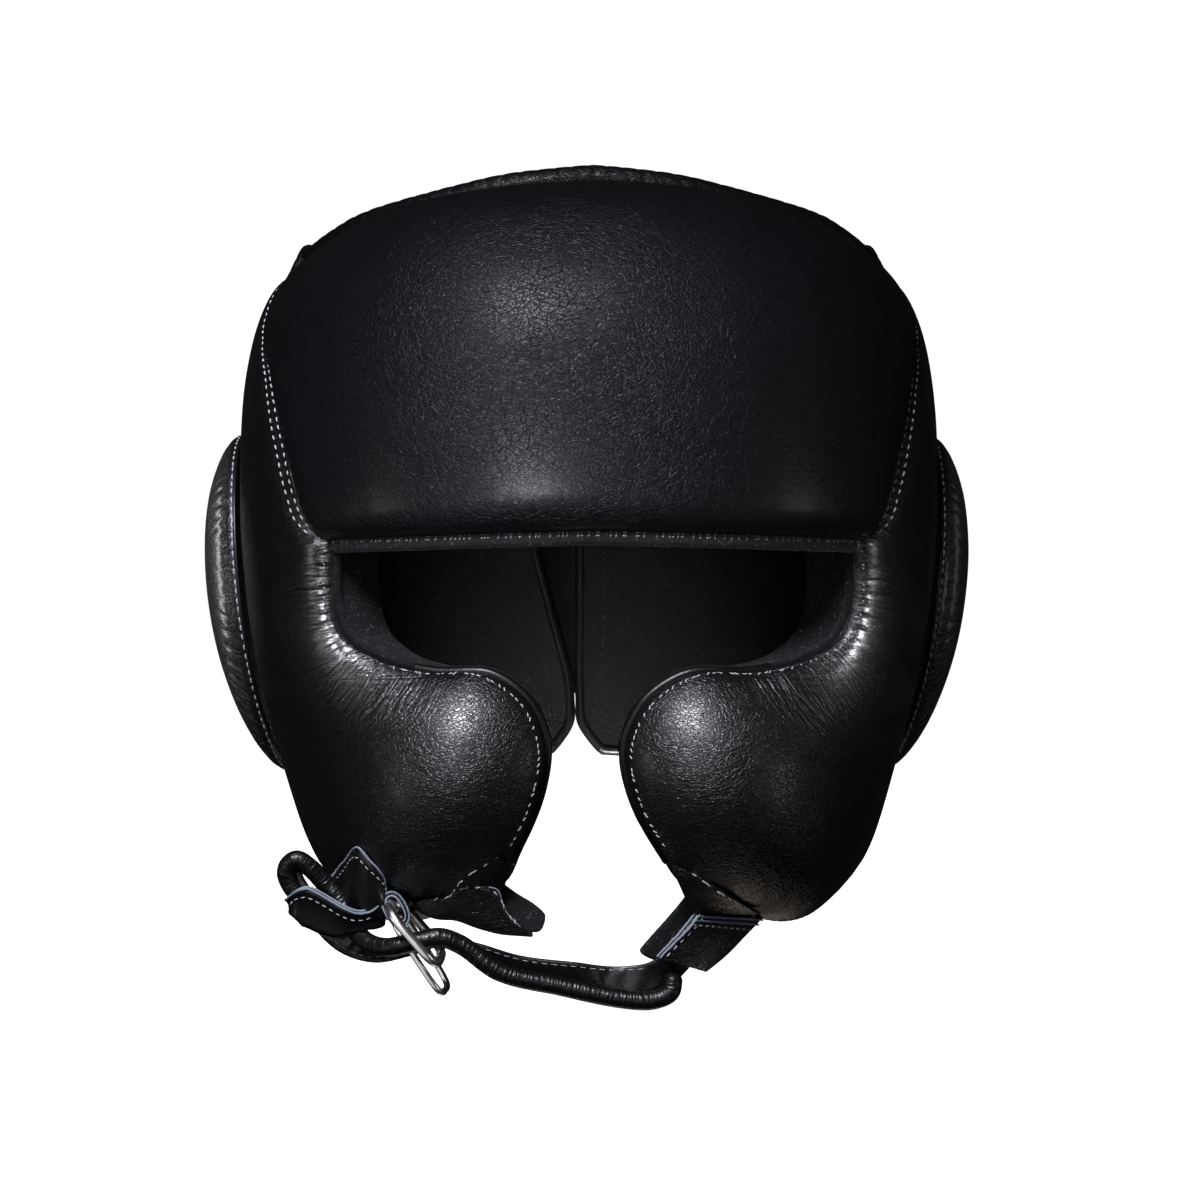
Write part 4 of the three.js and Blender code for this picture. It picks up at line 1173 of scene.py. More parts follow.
class GUARD_OT_side_pads(bpy.types.Operator):
    """Side pads with their lining, edge rolls and stitches"""

    bl_idname = "guard.side_pads"
    bl_label = "Side pads"

    # Way along the front edge before the lobe where the eye's stitches end and the rim's begin
    RIM_BEFORE = 26

    def execute(self, context):
        for word, side in SIDES:
            pad = Cheek(side)
            parts = layer_parts(pad.az, pad.el, pad.split + LAYER_GAP / 2, pad.outer)
            make_piece(
                f"cheek_leather_{word}", parts, "grained_leather", f"cheek_pad_{word}", folds=pad.folds,
            )
            self.lining(pad, word)
            self.stitches(pad, word)
            self.rim_roll(pad, word)
        return {"FINISHED"}

    def lining(self, pad, word):
        parts = layer_parts(pad.az, pad.el, np.zeros_like(pad.outer), pad.split - LAYER_GAP / 2)
        edge_line = above(pad.az[:, 0], pad.el[:, 0], pad.split[:, 0])
        eye = (pad.down > pad.brow + 1) & (pad.down < pad.lobe + 6)
        parts += tube_part(curve_through(edge_line[eye][::6], 260), 1.3, 10, swelling=uneven(0.07, 2, 133))
        make_piece(f"cheek_suede_{word}", parts, "napped_suede", f"cheek_lining_{word}")

    def stitches(self, pad, word):
        def row(first, last, count, distance, *stitch, **options):
            places = np.linspace(first, last, count)
            return stitch_row(*pad.surface.at(places, np.full(count, distance)), *stitch, **options)
        pitch, rim = settings().thread.pitch, pad.lobe - self.RIM_BEFORE
        first, second = pad.SEWN_ROWS
        rows = row(6, pad.brow + 1, 260, first, pitch, 1.8, 0.85, jitter=0.08)
        rows += row(6, pad.brow + 1, 260, second, pitch, 1.8, 0.85, start=1.2, jitter=0.08)
        rows += row(rim, pad.low - 4, 360, 1.3, 2.3, 1.6, 0.65, slant=26 * pad.side, jitter=0.4)
        rows += row(pad.brow + 2, rim, 220, 1.1, 3.1, 0.8, 0.65, slant=60, jitter=0.4)
        make_piece(f"cheek_stitches_{word}", rows, "sewing_thread")

    def rim_roll(self, pad, word):
        """Leather roll that closes the edge of the lobe."""
        rows = (pad.down > pad.lobe - 22) & (pad.down < pad.low + 8)
        line = above(pad.az[:, 0], pad.el[:, 0], 0.5 * (pad.split[:, 0] + pad.outer[:, 0]))[rows]
        roll = tube_part(curve_through(line[::4], 240), 1.5, 12, swelling=uneven(0.05, 3, 131))
        make_piece(f"lobe_roll_{word}", roll, "strap_leather")


# Ears, crown and back


class GUARD_OT_ear_pads(bpy.types.Operator):
    """Oval cushions over the ears, gathered along their border"""

    bl_idname = "guard.ear_pads"
    bl_label = "Ear pads"

    RINGS = np.concatenate([np.linspace(0.02, 0.8, 26), 0.8 + 0.2 * np.sin(np.linspace(0.1, math.pi / 2, 16))])
    SECTORS = 300
    # Pitch of the wide and of the fine gathers, in millimetres
    PITCH, FINE_PITCH = 4.6, 2.3

    def execute(self, context):
        for word, side in SIDES:
            r, angle = polar_grid(self.RINGS, self.SECTORS)
            az, el, height = self.shape(side, r, angle)
            skin = above(az, el, height)
            wall = rim_wall(az[-1], el[-1], height[-1], EAR["seat"], 5)
            cushion = grid_part(np.concatenate([skin, wall[1:]]), closed_columns=True, flip=side < 0)
            parts = [cushion, (skin[0], [tuple(range(self.SECTORS))])]
            folds = self.folds(r)
            make_piece(f"ear_leather_{word}", parts, "grained_leather", f"ear_pad_{word}", folds=folds)
            ring = np.concatenate([skin[-2], skin[-2][:1]])
            stitches = stitch_row(ring, outward(ring), 3.0, 1.9, 0.8, jitter=0.12)
            make_piece(f"ear_stitches_{word}", stitches, "sewing_thread")
            welt = above(az[-1], el[-1], np.full(self.SECTORS, EAR["seat"] + 0.5))
            make_piece(f"ear_welt_{word}", tube_part(welt, 0.6, 10, closed=True), "strap_leather")
        return {"FINISHED"}

    def shape(self, side, r, angle):
        """Directions and heights at shares of the reach and angles, with gathers inside the border."""
        pads, run = settings().pads, angle * EAR["radian"]
        az = side * (EAR["az"] + r * EAR["half_az"] * np.cos(angle))
        el = EAR["el"] + r * EAR["half_el"] * np.sin(angle)
        border = np.exp(-(((1 - r) * EAR["reach"]) / 9) ** 2)
        folds = np.abs(np.sin(run * math.pi / self.PITCH + 1.4 * ripple(run / 12, r * 9, 31 + side)))
        finer = np.abs(np.sin(run * math.pi / self.FINE_PITCH + 2 * ripple(run / 8, r * 9, 35 + side)))
        gather = (1 - folds) ** 1.5 * 0.8 + (1 - finer) ** 1.5 * 0.4
        height = EAR["seat"] + EAR["edge"] + (EAR["full"] - EAR["edge"]) * np.sqrt(np.clip(1 - r**2.3, 0, 1))
        height = height - 0.7 * pads.pucker * border * gather * np.clip((1 - r) * 30, 0, 1)
        return az, el, height + pads.slack * (1 - r) * ripple(run / 20, r * 6, 38 + side)

    def folds(self, r):
        """Fine puckers inside the border."""
        gap = (1 - r) * EAR["reach"]
        run = np.linspace(0, 2 * math.pi * EAR["radian"], self.SECTORS) * np.ones((len(r), 1))
        return np.stack([run, gap, 0.5 * np.exp(-((gap / 10) ** 2)) * np.clip(gap / 2, 0, 1)], axis=-1)


def rim_elevation(az):
    """Elevation of the rim where the crown meets the pads."""
    az = np.abs((np.asarray(az, float) + 180) % 360 - 180)
    top = SEAM[-1]
    front = top["middle"] + (top["el"] - top["middle"]) * np.clip(az / top["az"], 0, 1) ** ROW_BEND
    past = np.clip((az - top["az"]) / (CHEEK_REAR_AZ - top["az"]), 0, 1)
    side = top["el"] + (CHEEK_REAR_TOP - top["el"]) * past
    blend = np.clip((az - CHEEK_REAR_AZ) / 6, 0, 1)
    back = CHEEK_REAR_TOP + (BACK_ROWS[0]["el"] - CHEEK_REAR_TOP) * blend
    return np.where(az <= top["az"], front, np.where(az <= CHEEK_REAR_AZ, side, back))


class GUARD_OT_crown(bpy.types.Operator):
    """Thin padded cap with crossed seams, and the bead along the forehead's top edge"""

    bl_idname = "guard.crown"
    bl_label = "Crown"

    RINGS = np.concatenate([np.linspace(0.01, 0.9, 48), 0.9 + 0.1 * np.sin(np.linspace(0.15, math.pi / 2, 10))])
    SECTORS = 220
    REACH = 78
    RIM_GAP_DEG = 1.2
    STITCH_LENGTH = 1.9
    SEAM_OFFSET = 2.6
    BEAD_POINTS = 460

    def execute(self, context):
        az, el, height = self.shape(*polar_grid(self.RINGS, self.SECTORS))
        skin = above(az, el, height)
        inside = above(az[::3], el[::3], np.zeros_like(el[::3]))
        around = tuple(range(self.SECTORS))
        parts = [
            grid_part(skin, closed_columns=True, flip=True),
            (skin[0], [around]),
            grid_part(rim_wall(az[-1], el[-1], height[-1], 0, 4), closed_columns=True, flip=True),
            grid_part(inside, closed_columns=True),
            (inside[0], [around[::-1]]),
        ]
        make_piece("crown_leather", parts, "grained_leather", "crown_pad")
        lines = [np.concatenate([skin[-9], skin[-9][:1]])]
        for turn in range(4):
            for offset in (-self.SEAM_OFFSET, self.SEAM_OFFSET):
                reach = np.linspace(4, 76, 120)
                lines.append(above(*self.shape(reach / self.REACH, np.arctan2(offset, reach) + turn * math.pi / 2)))
        pitch = settings().thread.pitch
        stitches = [part for line in lines for part in stitch_row(line, outward(line), pitch, self.STITCH_LENGTH, 1)]
        make_piece("crown_stitches", stitches, "sewing_thread")
        self.bead()
        return {"FINISHED"}

    def shape(self, r, angle):
        """Directions and heights at shares of the reach and angles, with valleys along the crossed seams."""
        az = np.degrees(angle)
        el = 90 - r * (90 - rim_elevation(az) - self.RIM_GAP_DEG)
        full = CROWN_RIM + (CROWN_FULL - CROWN_RIM) * (1 - r**4)
        rim_fall = 3.5 * np.exp(-(((1 - r) * 90) / 3.5) ** 2)
        x, y = r * self.REACH * np.cos(angle), r * self.REACH * np.sin(angle)
        seams = np.minimum(np.abs(y), np.abs(x))
        valley = 1.6 * np.exp(-((seams / 2.2) ** 2)) + 1.0 * np.exp(-((seams / 9) ** 2))
        return az, el, full - rim_fall - valley + settings().pads.slack * ripple(x / 14, y / 14, 51)

    def bead(self):
        """Rolled bead with slanted stitches on its front."""
        u = np.linspace(-0.97, 0.97, 57)
        az = u * BEAD_SPAN
        el = rim_elevation(az) + table_at(BEAD_ROWS, "rise", np.abs(u))
        line = above(az, el, table_at(BEAD_ROWS, "height", np.abs(u)))
        corner = np.array(BEAD_CORNER, float)
        line = curve_through(np.concatenate([corner[::-1] * (-1, 1, 1), line, corner]), self.BEAD_POINTS)

        def wrinkles(run, turn):
            bend = 1.2 * np.sin(turn) + ripple(run / 8, turn, 62)
            fold = (1 - np.abs(np.sin(run * math.pi / 5.2 + bend))) ** 2
            return 1 + 0.03 * ripple(run / 9, turn, 61) - 0.05 * fold
        taper = 1 - 0.82 * np.clip((np.abs(np.linspace(-1, 1, self.BEAD_POINTS)) - 0.55) / 0.45, 0, 1)
        bead = tube_part(line, BEAD_RADIUS * taper, 22, swelling=wrinkles)
        make_piece("top_bead", bead, "matt_leather", "top_binding")
        out = leaning(line, np.array([0.0, -1.0, -0.35]))
        row = line + out * (BEAD_RADIUS * taper - 0.15)[:, None]
        make_piece("bead_stitches", stitch_row(row, out, 4.6, 2.6, 0.6, slant=28, jitter=0.15), "sewing_thread")


class GUARD_OT_brow(bpy.types.Operator):
    """Suede roll along the brow, overcast with thread"""

    bl_idname = "guard.brow"
    bl_label = "Brow roll"

    POINTS = 560
    END_SHARE = 0.025

    def execute(self, context):
        brow, radius = SEAM[0], BROW_ROLL["radius"]
        az = np.linspace(-1, 1, 41) * BROW_ROLL["span"]
        bend = (brow["el"] - brow["middle"]) * np.abs(az / brow["az"]) ** ROW_BEND
        el = brow["middle"] + bend - BROW_ROLL["drop"]
        line = curve_through(above(az, el, np.full_like(az, BROW_ROLL["seat"])), self.POINTS)

        def lumps(run, turn):
            return 1 + 0.05 * ripple(run / 3, turn, 71) + 0.05 * ripple(run * 3, turn * 3, 72)
        taper = np.sqrt(np.clip((1 - np.abs(np.linspace(-1, 1, self.POINTS))) / self.END_SHARE, 0.15, 1))
        make_piece("brow_suede", tube_part(line, radius * taper, 20, swelling=lumps), "napped_suede", "brow_roll")
        stitches = []
        for tilt in (-0.95, -0.4):
            out = leaning(line, np.array([0.0, -math.cos(tilt), -math.sin(tilt)]))
            stitches += stitch_row(line + out * radius, out, 1.9, 0.8, 0.55, slant=50, start=tilt, jitter=0.6)
        make_piece("brow_stitches", stitches, "sewing_thread")
        return {"FINISHED"}


class GUARD_OT_back(bpy.types.Operator):
    """Back panels, their lining with bound edges, and the gusset between them"""

    bl_idname = "guard.back"
    bl_label = "Back"

    # Heights of the gusset's faces over the form, and how far it overlaps the panels
    GUSSET_INNER, GUSSET_OUTER, GUSSET_INSET_DEG = 3, 6, 0.4
    BOUND_RADIUS = 1.9

    def execute(self, context):
        knots = [-row["el"] for row in BACK_ROWS]
        start = CHEEK_REAR_AZ + 2 * SEAM_GAP_DEG
        rows = -(graded(knots[-1] - knots[0], 14, 14, 1.6) + knots[0])
        u = graded(1.0, 0.14, 0.2, 0.022)
        before, bottom = BACK_ROWS[-2]["el"], BACK_ROWS[-1]["el"]
        low = np.clip((before - rows) / (before - bottom), 0, 1)
        el = rows[:, None] + (low * (BACK_SIDE_BOTTOM - bottom))[:, None] * (1 - u)
        for word, side in SIDES:
            inner_edge = smooth(knots, [row[word] for row in BACK_ROWS], -rows)
            az = side * (start + (inner_edge - start)[:, None] * u)
            base = form_point(az, el)
            across, down = run_lengths(base, 1), run_lengths(base, 0)
            thick = softest([
                swell(across, BACK_SIDE_EDGE, BACK_FULL),
                swell(across[:, -1:] - across, BACK_INNER_EDGE, BACK_FULL),
                swell(down, BACK_TOP_EDGE, BACK_FULL),
                swell(down[-1:] - down, BACK_BOTTOM_EDGE, BACK_FULL),
            ])
            inside = np.clip(np.minimum(across, across[:, -1:] - across) / 12, 0, 1)
            thick = thick + settings().pads.slack * inside * ripple(base[..., 0] / 15, base[..., 2] / 15, 81 + side)
            split = np.full_like(thick, LINING_THIN)
            pad = layer_parts(az, el, split + LAYER_GAP / 2, thick)
            make_piece(f"back_leather_{word}", pad, "grained_leather", f"back_pad_{word}")
            lining = layer_parts(az, el, 0 * thick, split - LAYER_GAP / 2)
            # The lining's suede is a darker copy, painted shade for the inside of the back
            make_piece(f"back_suede_{word}", lining, "painted_shade_suede", f"back_lining_{word}")
            self.bound_edge(word, az, el)
        self.gusset()
        return {"FINISHED"}

    def bound_edge(self, word, az, el):
        """Leather strip sewn round the inner and lower edge of the lining."""
        def border(row, column, height, count):
            lines = [np.concatenate([grid[4:row, column], grid[row, column::-1]]) for grid in (az, el)]
            return curve_through(above(*lines, np.full_like(lines[0], height))[::3], count)
        rim = tube_part(border(-1, -1, 1.2, 200), self.BOUND_RADIUS, 10)
        make_piece(f"back_bound_edge_{word}", rim, "strap_leather")
        line = border(-8, -9, -0.1, 240)
        make_piece(f"back_stitches_{word}", stitch_row(line, -outward(line), 3.2, 2.0, 0.8), "napped_suede")

    def gusset(self):
        rows = [row for row in BACK_ROWS if row["el"] >= GUSSET_BOTTOM]
        knots = [-row["el"] for row in rows]
        down = np.linspace(knots[0], knots[-1], 90)
        right = smooth(knots, [row["right"] for row in rows], down) + self.GUSSET_INSET_DEG
        left = 360 - smooth(knots, [row["left"] for row in rows], down) - self.GUSSET_INSET_DEG
        u = np.linspace(0, 1, 16)
        az = right[:, None] + (left - right)[:, None] * u
        el = -down[:, None] * np.ones(len(u))
        sag = 0.8 * np.sin(u * math.pi)[None] + 0.4 * ripple(el / 6, az / 3, 91)
        parts = layer_parts(az, el, self.GUSSET_INNER + 0 * az, self.GUSSET_OUTER + sag)
        make_piece("gusset_leather", parts, "strap_leather", "back_gusset")


# Chin


def bent(wave, power):
    """Wave squared up by a power under 1, with its sign kept."""
    return np.sign(wave) * np.abs(wave) ** power


class Strip:
    """Flat strap between two edge lines, with points at a share along, a share across and a height."""

    # Powers that round the sides and the faces of the section, and the share of the length to look ahead
    SIDE_POWER, FACE_POWER, LOOK = 0.55, 0.45, 0.01

    def __init__(self, rows, thick, relief=None, round_end=0.0):
        rows = np.asarray(rows, float)
        self.thick, self.relief, self.round_end = thick, relief, round_end
        self.knots = run_lengths((rows[:, :3] + rows[:, 3:]) / 2, 0)
        self.columns = rows.T
        self.front = 1
        middle_normal = self.frame(np.array([0.5]))[2][0]
        if middle_normal[1] > 0:
            self.front = -1

    def edges(self, t):
        """Points of both edges, six numbers in one row."""
        at = np.clip(t, 0, 1) * self.knots[-1]
        return np.stack([smooth(self.knots, column, at) for column in self.columns], axis=-1)

    def frame(self, t):
        before, edges, after = (self.edges(t + k * self.LOOK) for k in (-1, 0, 1))
        middle, half = (edges[..., :3] + edges[..., 3:]) / 2, (edges[..., 3:] - edges[..., :3]) / 2
        along = (after - before).reshape(*edges.shape[:-1], 2, 3).sum(axis=-2)
        return middle, half, unit(np.cross(along, half) * self.front)

    def at(self, t, u, v):
        """v is -1 on the back face and 1 on the front face."""
        t, u, v = np.broadcast_arrays(np.asarray(t, float), u, v)
        middle, half, normal = self.frame(t)
        if self.round_end:
            close = np.clip((t - 1) * self.knots[-1] / self.round_end + 1, 0, 0.99)
            half = half * np.sqrt(1 - close**2)[..., None]
        lift = v * self.thick / 2
        if self.relief is not None:
            lift = lift + v * self.relief(t * self.knots[-1], u)
        return middle + half * u[..., None] + normal * lift[..., None]

    def line(self, u, v, first=0.0, last=1.0, count=90):
        t = np.linspace(first, last, count)
        return self.at(t, u, v), self.frame(t)[2] * np.sign(v)

    def across(self, t, v, count=40):
        return self.at(t, np.linspace(-1, 1, count), v), self.frame(np.full(count, float(t)))[2] * np.sign(v)

    def parts(self, count=120, sides=44):
        turn = np.linspace(0, 2 * math.pi, sides, endpoint=False)
        u, v = bent(np.cos(turn), self.SIDE_POWER), bent(np.sin(turn), self.FACE_POWER)
        rings = self.at(np.linspace(0, 1, count)[:, None], u[None], v[None])
        around = tuple(range(sides))
        ends = [(rings[0], [around[:: self.front]]), (rings[-1], [around[:: -self.front]])]
        return [grid_part(rings, closed_columns=True, flip=self.front < 0), *ends]


def rounded_outline(half_x, half_y, squareness, count):
    """Outline between an ellipse and a rectangle."""
    turn = np.linspace(0, 2 * math.pi, count, endpoint=False)
    return half_x * bent(np.cos(turn), 2 / squareness), half_y * bent(np.sin(turn), 2 / squareness)


def tilted(points, degrees):
    """Points turned about Y, from +X towards +Z."""
    c, s = math.cos(math.radians(degrees)), math.sin(math.radians(degrees))
    x, y, z = np.moveaxis(points, -1, 0)
    return np.stack([c * x - s * z, y, s * x + c * z], axis=-1)


class GUARD_OT_chin(bpy.types.Operator):
    """Chin flaps, strap, keeper, rings and their leather loop"""

    bl_idname = "guard.chin"
    bl_label = "Chin strap"

    # Points round the keeper's rim, layers down its wall and its belly in millimetres
    KEEPER_POINTS, KEEPER_LAYERS, KEEPER_BELLY = 120, 9, 0.5
    # Points along the rolled run of the strap and round it
    TAIL_POINTS, TAIL_SIDES = 420, 24

    def execute(self, context):
        self.edges, self.stitches = [], []
        self.flaps()
        self.keeper()
        self.rings()
        self.strap()
        make_piece("chin_cut_edges", self.edges, "raw_edge")
        make_piece("chin_stitches", self.stitches, "sewing_thread")
        return {"FINISHED"}

    def sew(self, line_and_normals, pitch=2.9, length=1.8, share=0.75, **options):
        self.stitches += stitch_row(*line_and_normals, pitch, length, share, **options)

    def cut(self, line_and_normals, radius=0.38):
        """Pale fibrous line of a cut edge."""
        line = curve_through(line_and_normals[0][::3], 120)
        self.edges += tube_part(line, radius, 7, swelling=uneven(0.28, 1 / 1.3, 101))

    def flaps(self):
        def wrinkles(run, u):
            return 0.25 * ripple(run / 5, u * 3, 111)
        for (word, side), rows in zip(SIDES, (GORE_LEFT, GORE_RIGHT)):
            gore = Strip(rows, GORE_THICK, wrinkles)
            make_piece(f"gore_leather_{word}", gore.parts(), "grained_leather")
            self.sew(gore.line(0.9 * side, 1.0, 0.14), jitter=0.3)
        tongue = Strip(CHIN_FLAP_LEFT, FLAP_THICK, wrinkles, 3)
        tip = Strip(FLAP_LINING_LEFT, FLAP_THICK, None, 4)
        sleeve = Strip(SLEEVE_RIGHT, SLEEVE_THICK, wrinkles)
        flap = Strip(CHIN_FLAP_RIGHT, FLAP_THICK, None, 4)
        make_piece("tongue_leather", tongue.parts(), "grained_leather", "chin_flap_left")
        make_piece("tongue_suede", tip.parts(), "napped_suede", "chin_flap_lining_left")
        make_piece("sleeve_leather", sleeve.parts(), "grained_leather", "chin_flap_right")
        make_piece("sleeve_suede", flap.parts(), "napped_suede", "chin_flap_lining_right")
        self.sew(tongue.line(0.9, 1.0, 0.1, 0.6), slant=15, jitter=0.3)
        self.sew(tongue.line(0.8, 1.0, 0.62, 0.97), slant=-15, jitter=0.3)
        self.cut(tongue.line(0.98, 0.8, 0.6, 0.98), 0.24)
        self.cut(sleeve.line(-0.99, 0.9))
        self.cut(sleeve.line(-0.99, -1.0))
        self.sew(sleeve.line(-0.84, 1.05))
        self.cut(sleeve.across(0.03, 1.0), 0.3)
        self.cut(sleeve.across(0.12, 1.15), 0.3)
        self.sew(sleeve.across(0.22, 1.05))
        self.sew(flap.line(-0.5, 1.0), length=0.9, slant=20, jitter=0.3)

    def keeper(self):
        """Pocket lofted from its rim, two layers of leather with cut edges."""
        rows = np.asarray(KEEPER_ROWS, float)
        rim = curve_through(rows[:, :3], self.KEEPER_POINTS, closed=True)
        rows = np.concatenate([rows, rows[:1]])
        lengths = run_lengths(rows[:, :3], 0)
        place = np.linspace(0, lengths[-1], self.KEEPER_POINTS, endpoint=False)
        runs = along_line(rows[:, 3:], lengths, place)
        out = unit(np.cross(np.roll(rim, -1, 0) - np.roll(rim, 1, 0), runs))
        share = np.linspace(0, 1, self.KEEPER_LAYERS)[:, None, None]
        belly = self.KEEPER_BELLY * np.sin(share * math.pi)
        outside = rim + runs * share + out * (KEEPER_WALL / 2 + belly)
        inside = rim + runs * share[::-1] + out * (-KEEPER_WALL / 2 + belly[::-1])
        shell = grid_part(np.concatenate([outside, inside]), closed_rows=True, closed_columns=True)
        make_piece("keeper_leather", [shell], "strap_leather", "keeper_loop")
        sewn = rim + unit(runs) * 2.6
        for step in (-1, 1):
            line = rim + out * step * KEEPER_WALL / 2 - runs * 0.02
            self.edges += tube_part(line, 0.36, 7, closed=True, swelling=uneven(0.3, 1 / 1.2, 103))
            self.sew((sewn + out * (step * (KEEPER_WALL / 2 + 0.15) + 0.35), out * step), 2.4, 1.4, 0.55)

    def rings(self):
        for ring in RINGS:
            x, y = rounded_outline(ring["long"], ring["short"], RING_SQUARENESS, 96)
            roll = math.radians(ring["roll"])
            line = tilted(np.stack([x, y * math.cos(roll), y * math.sin(roll)], axis=-1), ring["tilt"]) + ring["at"]
            wire = tube_part(curve_through(line, 140, closed=True), ring["wire"], 14, closed=True)
            make_piece(ring["name"].replace("ring", "steel"), wire, "polished_steel", ring["name"])
        loop, skins = RING_LOOP, []
        levels = np.linspace(loop["front"], loop["rear"], 8)
        for inset, run in ((0, levels), (loop["wall"], levels[::-1])):
            x, z = rounded_outline(loop["half_wide"] - inset, loop["half_tall"] - inset, loop["squareness"], 64)
            outline = tilted(np.stack([x, 0 * x, z], axis=-1), loop["tilt"]) + [loop["x"], 0, loop["z"]]
            skins.append(np.stack([outline + [0, y, 0] for y in run]))
        outer, inner = skins
        shell = grid_part(np.concatenate(skins), closed_rows=True, closed_columns=True)
        make_piece("ring_loop_leather", [shell], "strap_leather", "ring_loop")
        for rim, shift in ((outer[0], 0.05), (inner[-1], -0.25)):
            self.edges += tube_part(rim + [0, shift, 0], 0.3, 7, closed=True)

    def strap(self):
        def gathers(run, u):
            waves = np.abs(np.sin(run / 1.5 + 2 * ripple(run / 7, u * 2, 121)))
            return 0.3 * (waves - 0.6) * (1 - u**2)
        band = Strip(STRAP_BAND, BAND_THICK, gathers)
        make_piece("strap_leather", band.parts(320, 40), "strap_leather", "chin_strap")
        self.sew(band.line(-0.72, 1.0, 0.12, 0.95, 300), share=0.3)
        self.sew(band.line(0.5, 1.0, 0.3, 0.95, 300), share=0.3)
        line = curve_through(STRAP_TAIL, self.TAIL_POINTS)
        parts = tube_part(line, TAIL_RADIUS, self.TAIL_SIDES, swelling=uneven(0.04, 5, 124))
        run = run_lengths(line, 0)[:, None] * np.ones(self.TAIL_SIDES)
        around = np.abs(np.linspace(-1, 1, self.TAIL_SIDES, endpoint=False)) * 8 + 0 * run
        folds = np.stack([run, around, np.full_like(run, 0.2)], axis=-1)
        make_piece("strap_roll_leather", parts, "strap_leather", "strap_tail", folds=folds)


# Stage


def direction(azimuth, elevation):
    """Unit vector from the guard, 0 towards the camera's side and growing towards +X and up."""
    return Vector((
        math.sin(azimuth) * math.cos(elevation), -math.cos(azimuth) * math.cos(elevation), math.sin(elevation),
    ))


REAR_PIECES = ("back_leather", "crown_", "gusset_")
WHITE, COOL, WARM = (1, 1, 1), (0.92, 0.93, 1), (1, 0.97, 0.95)


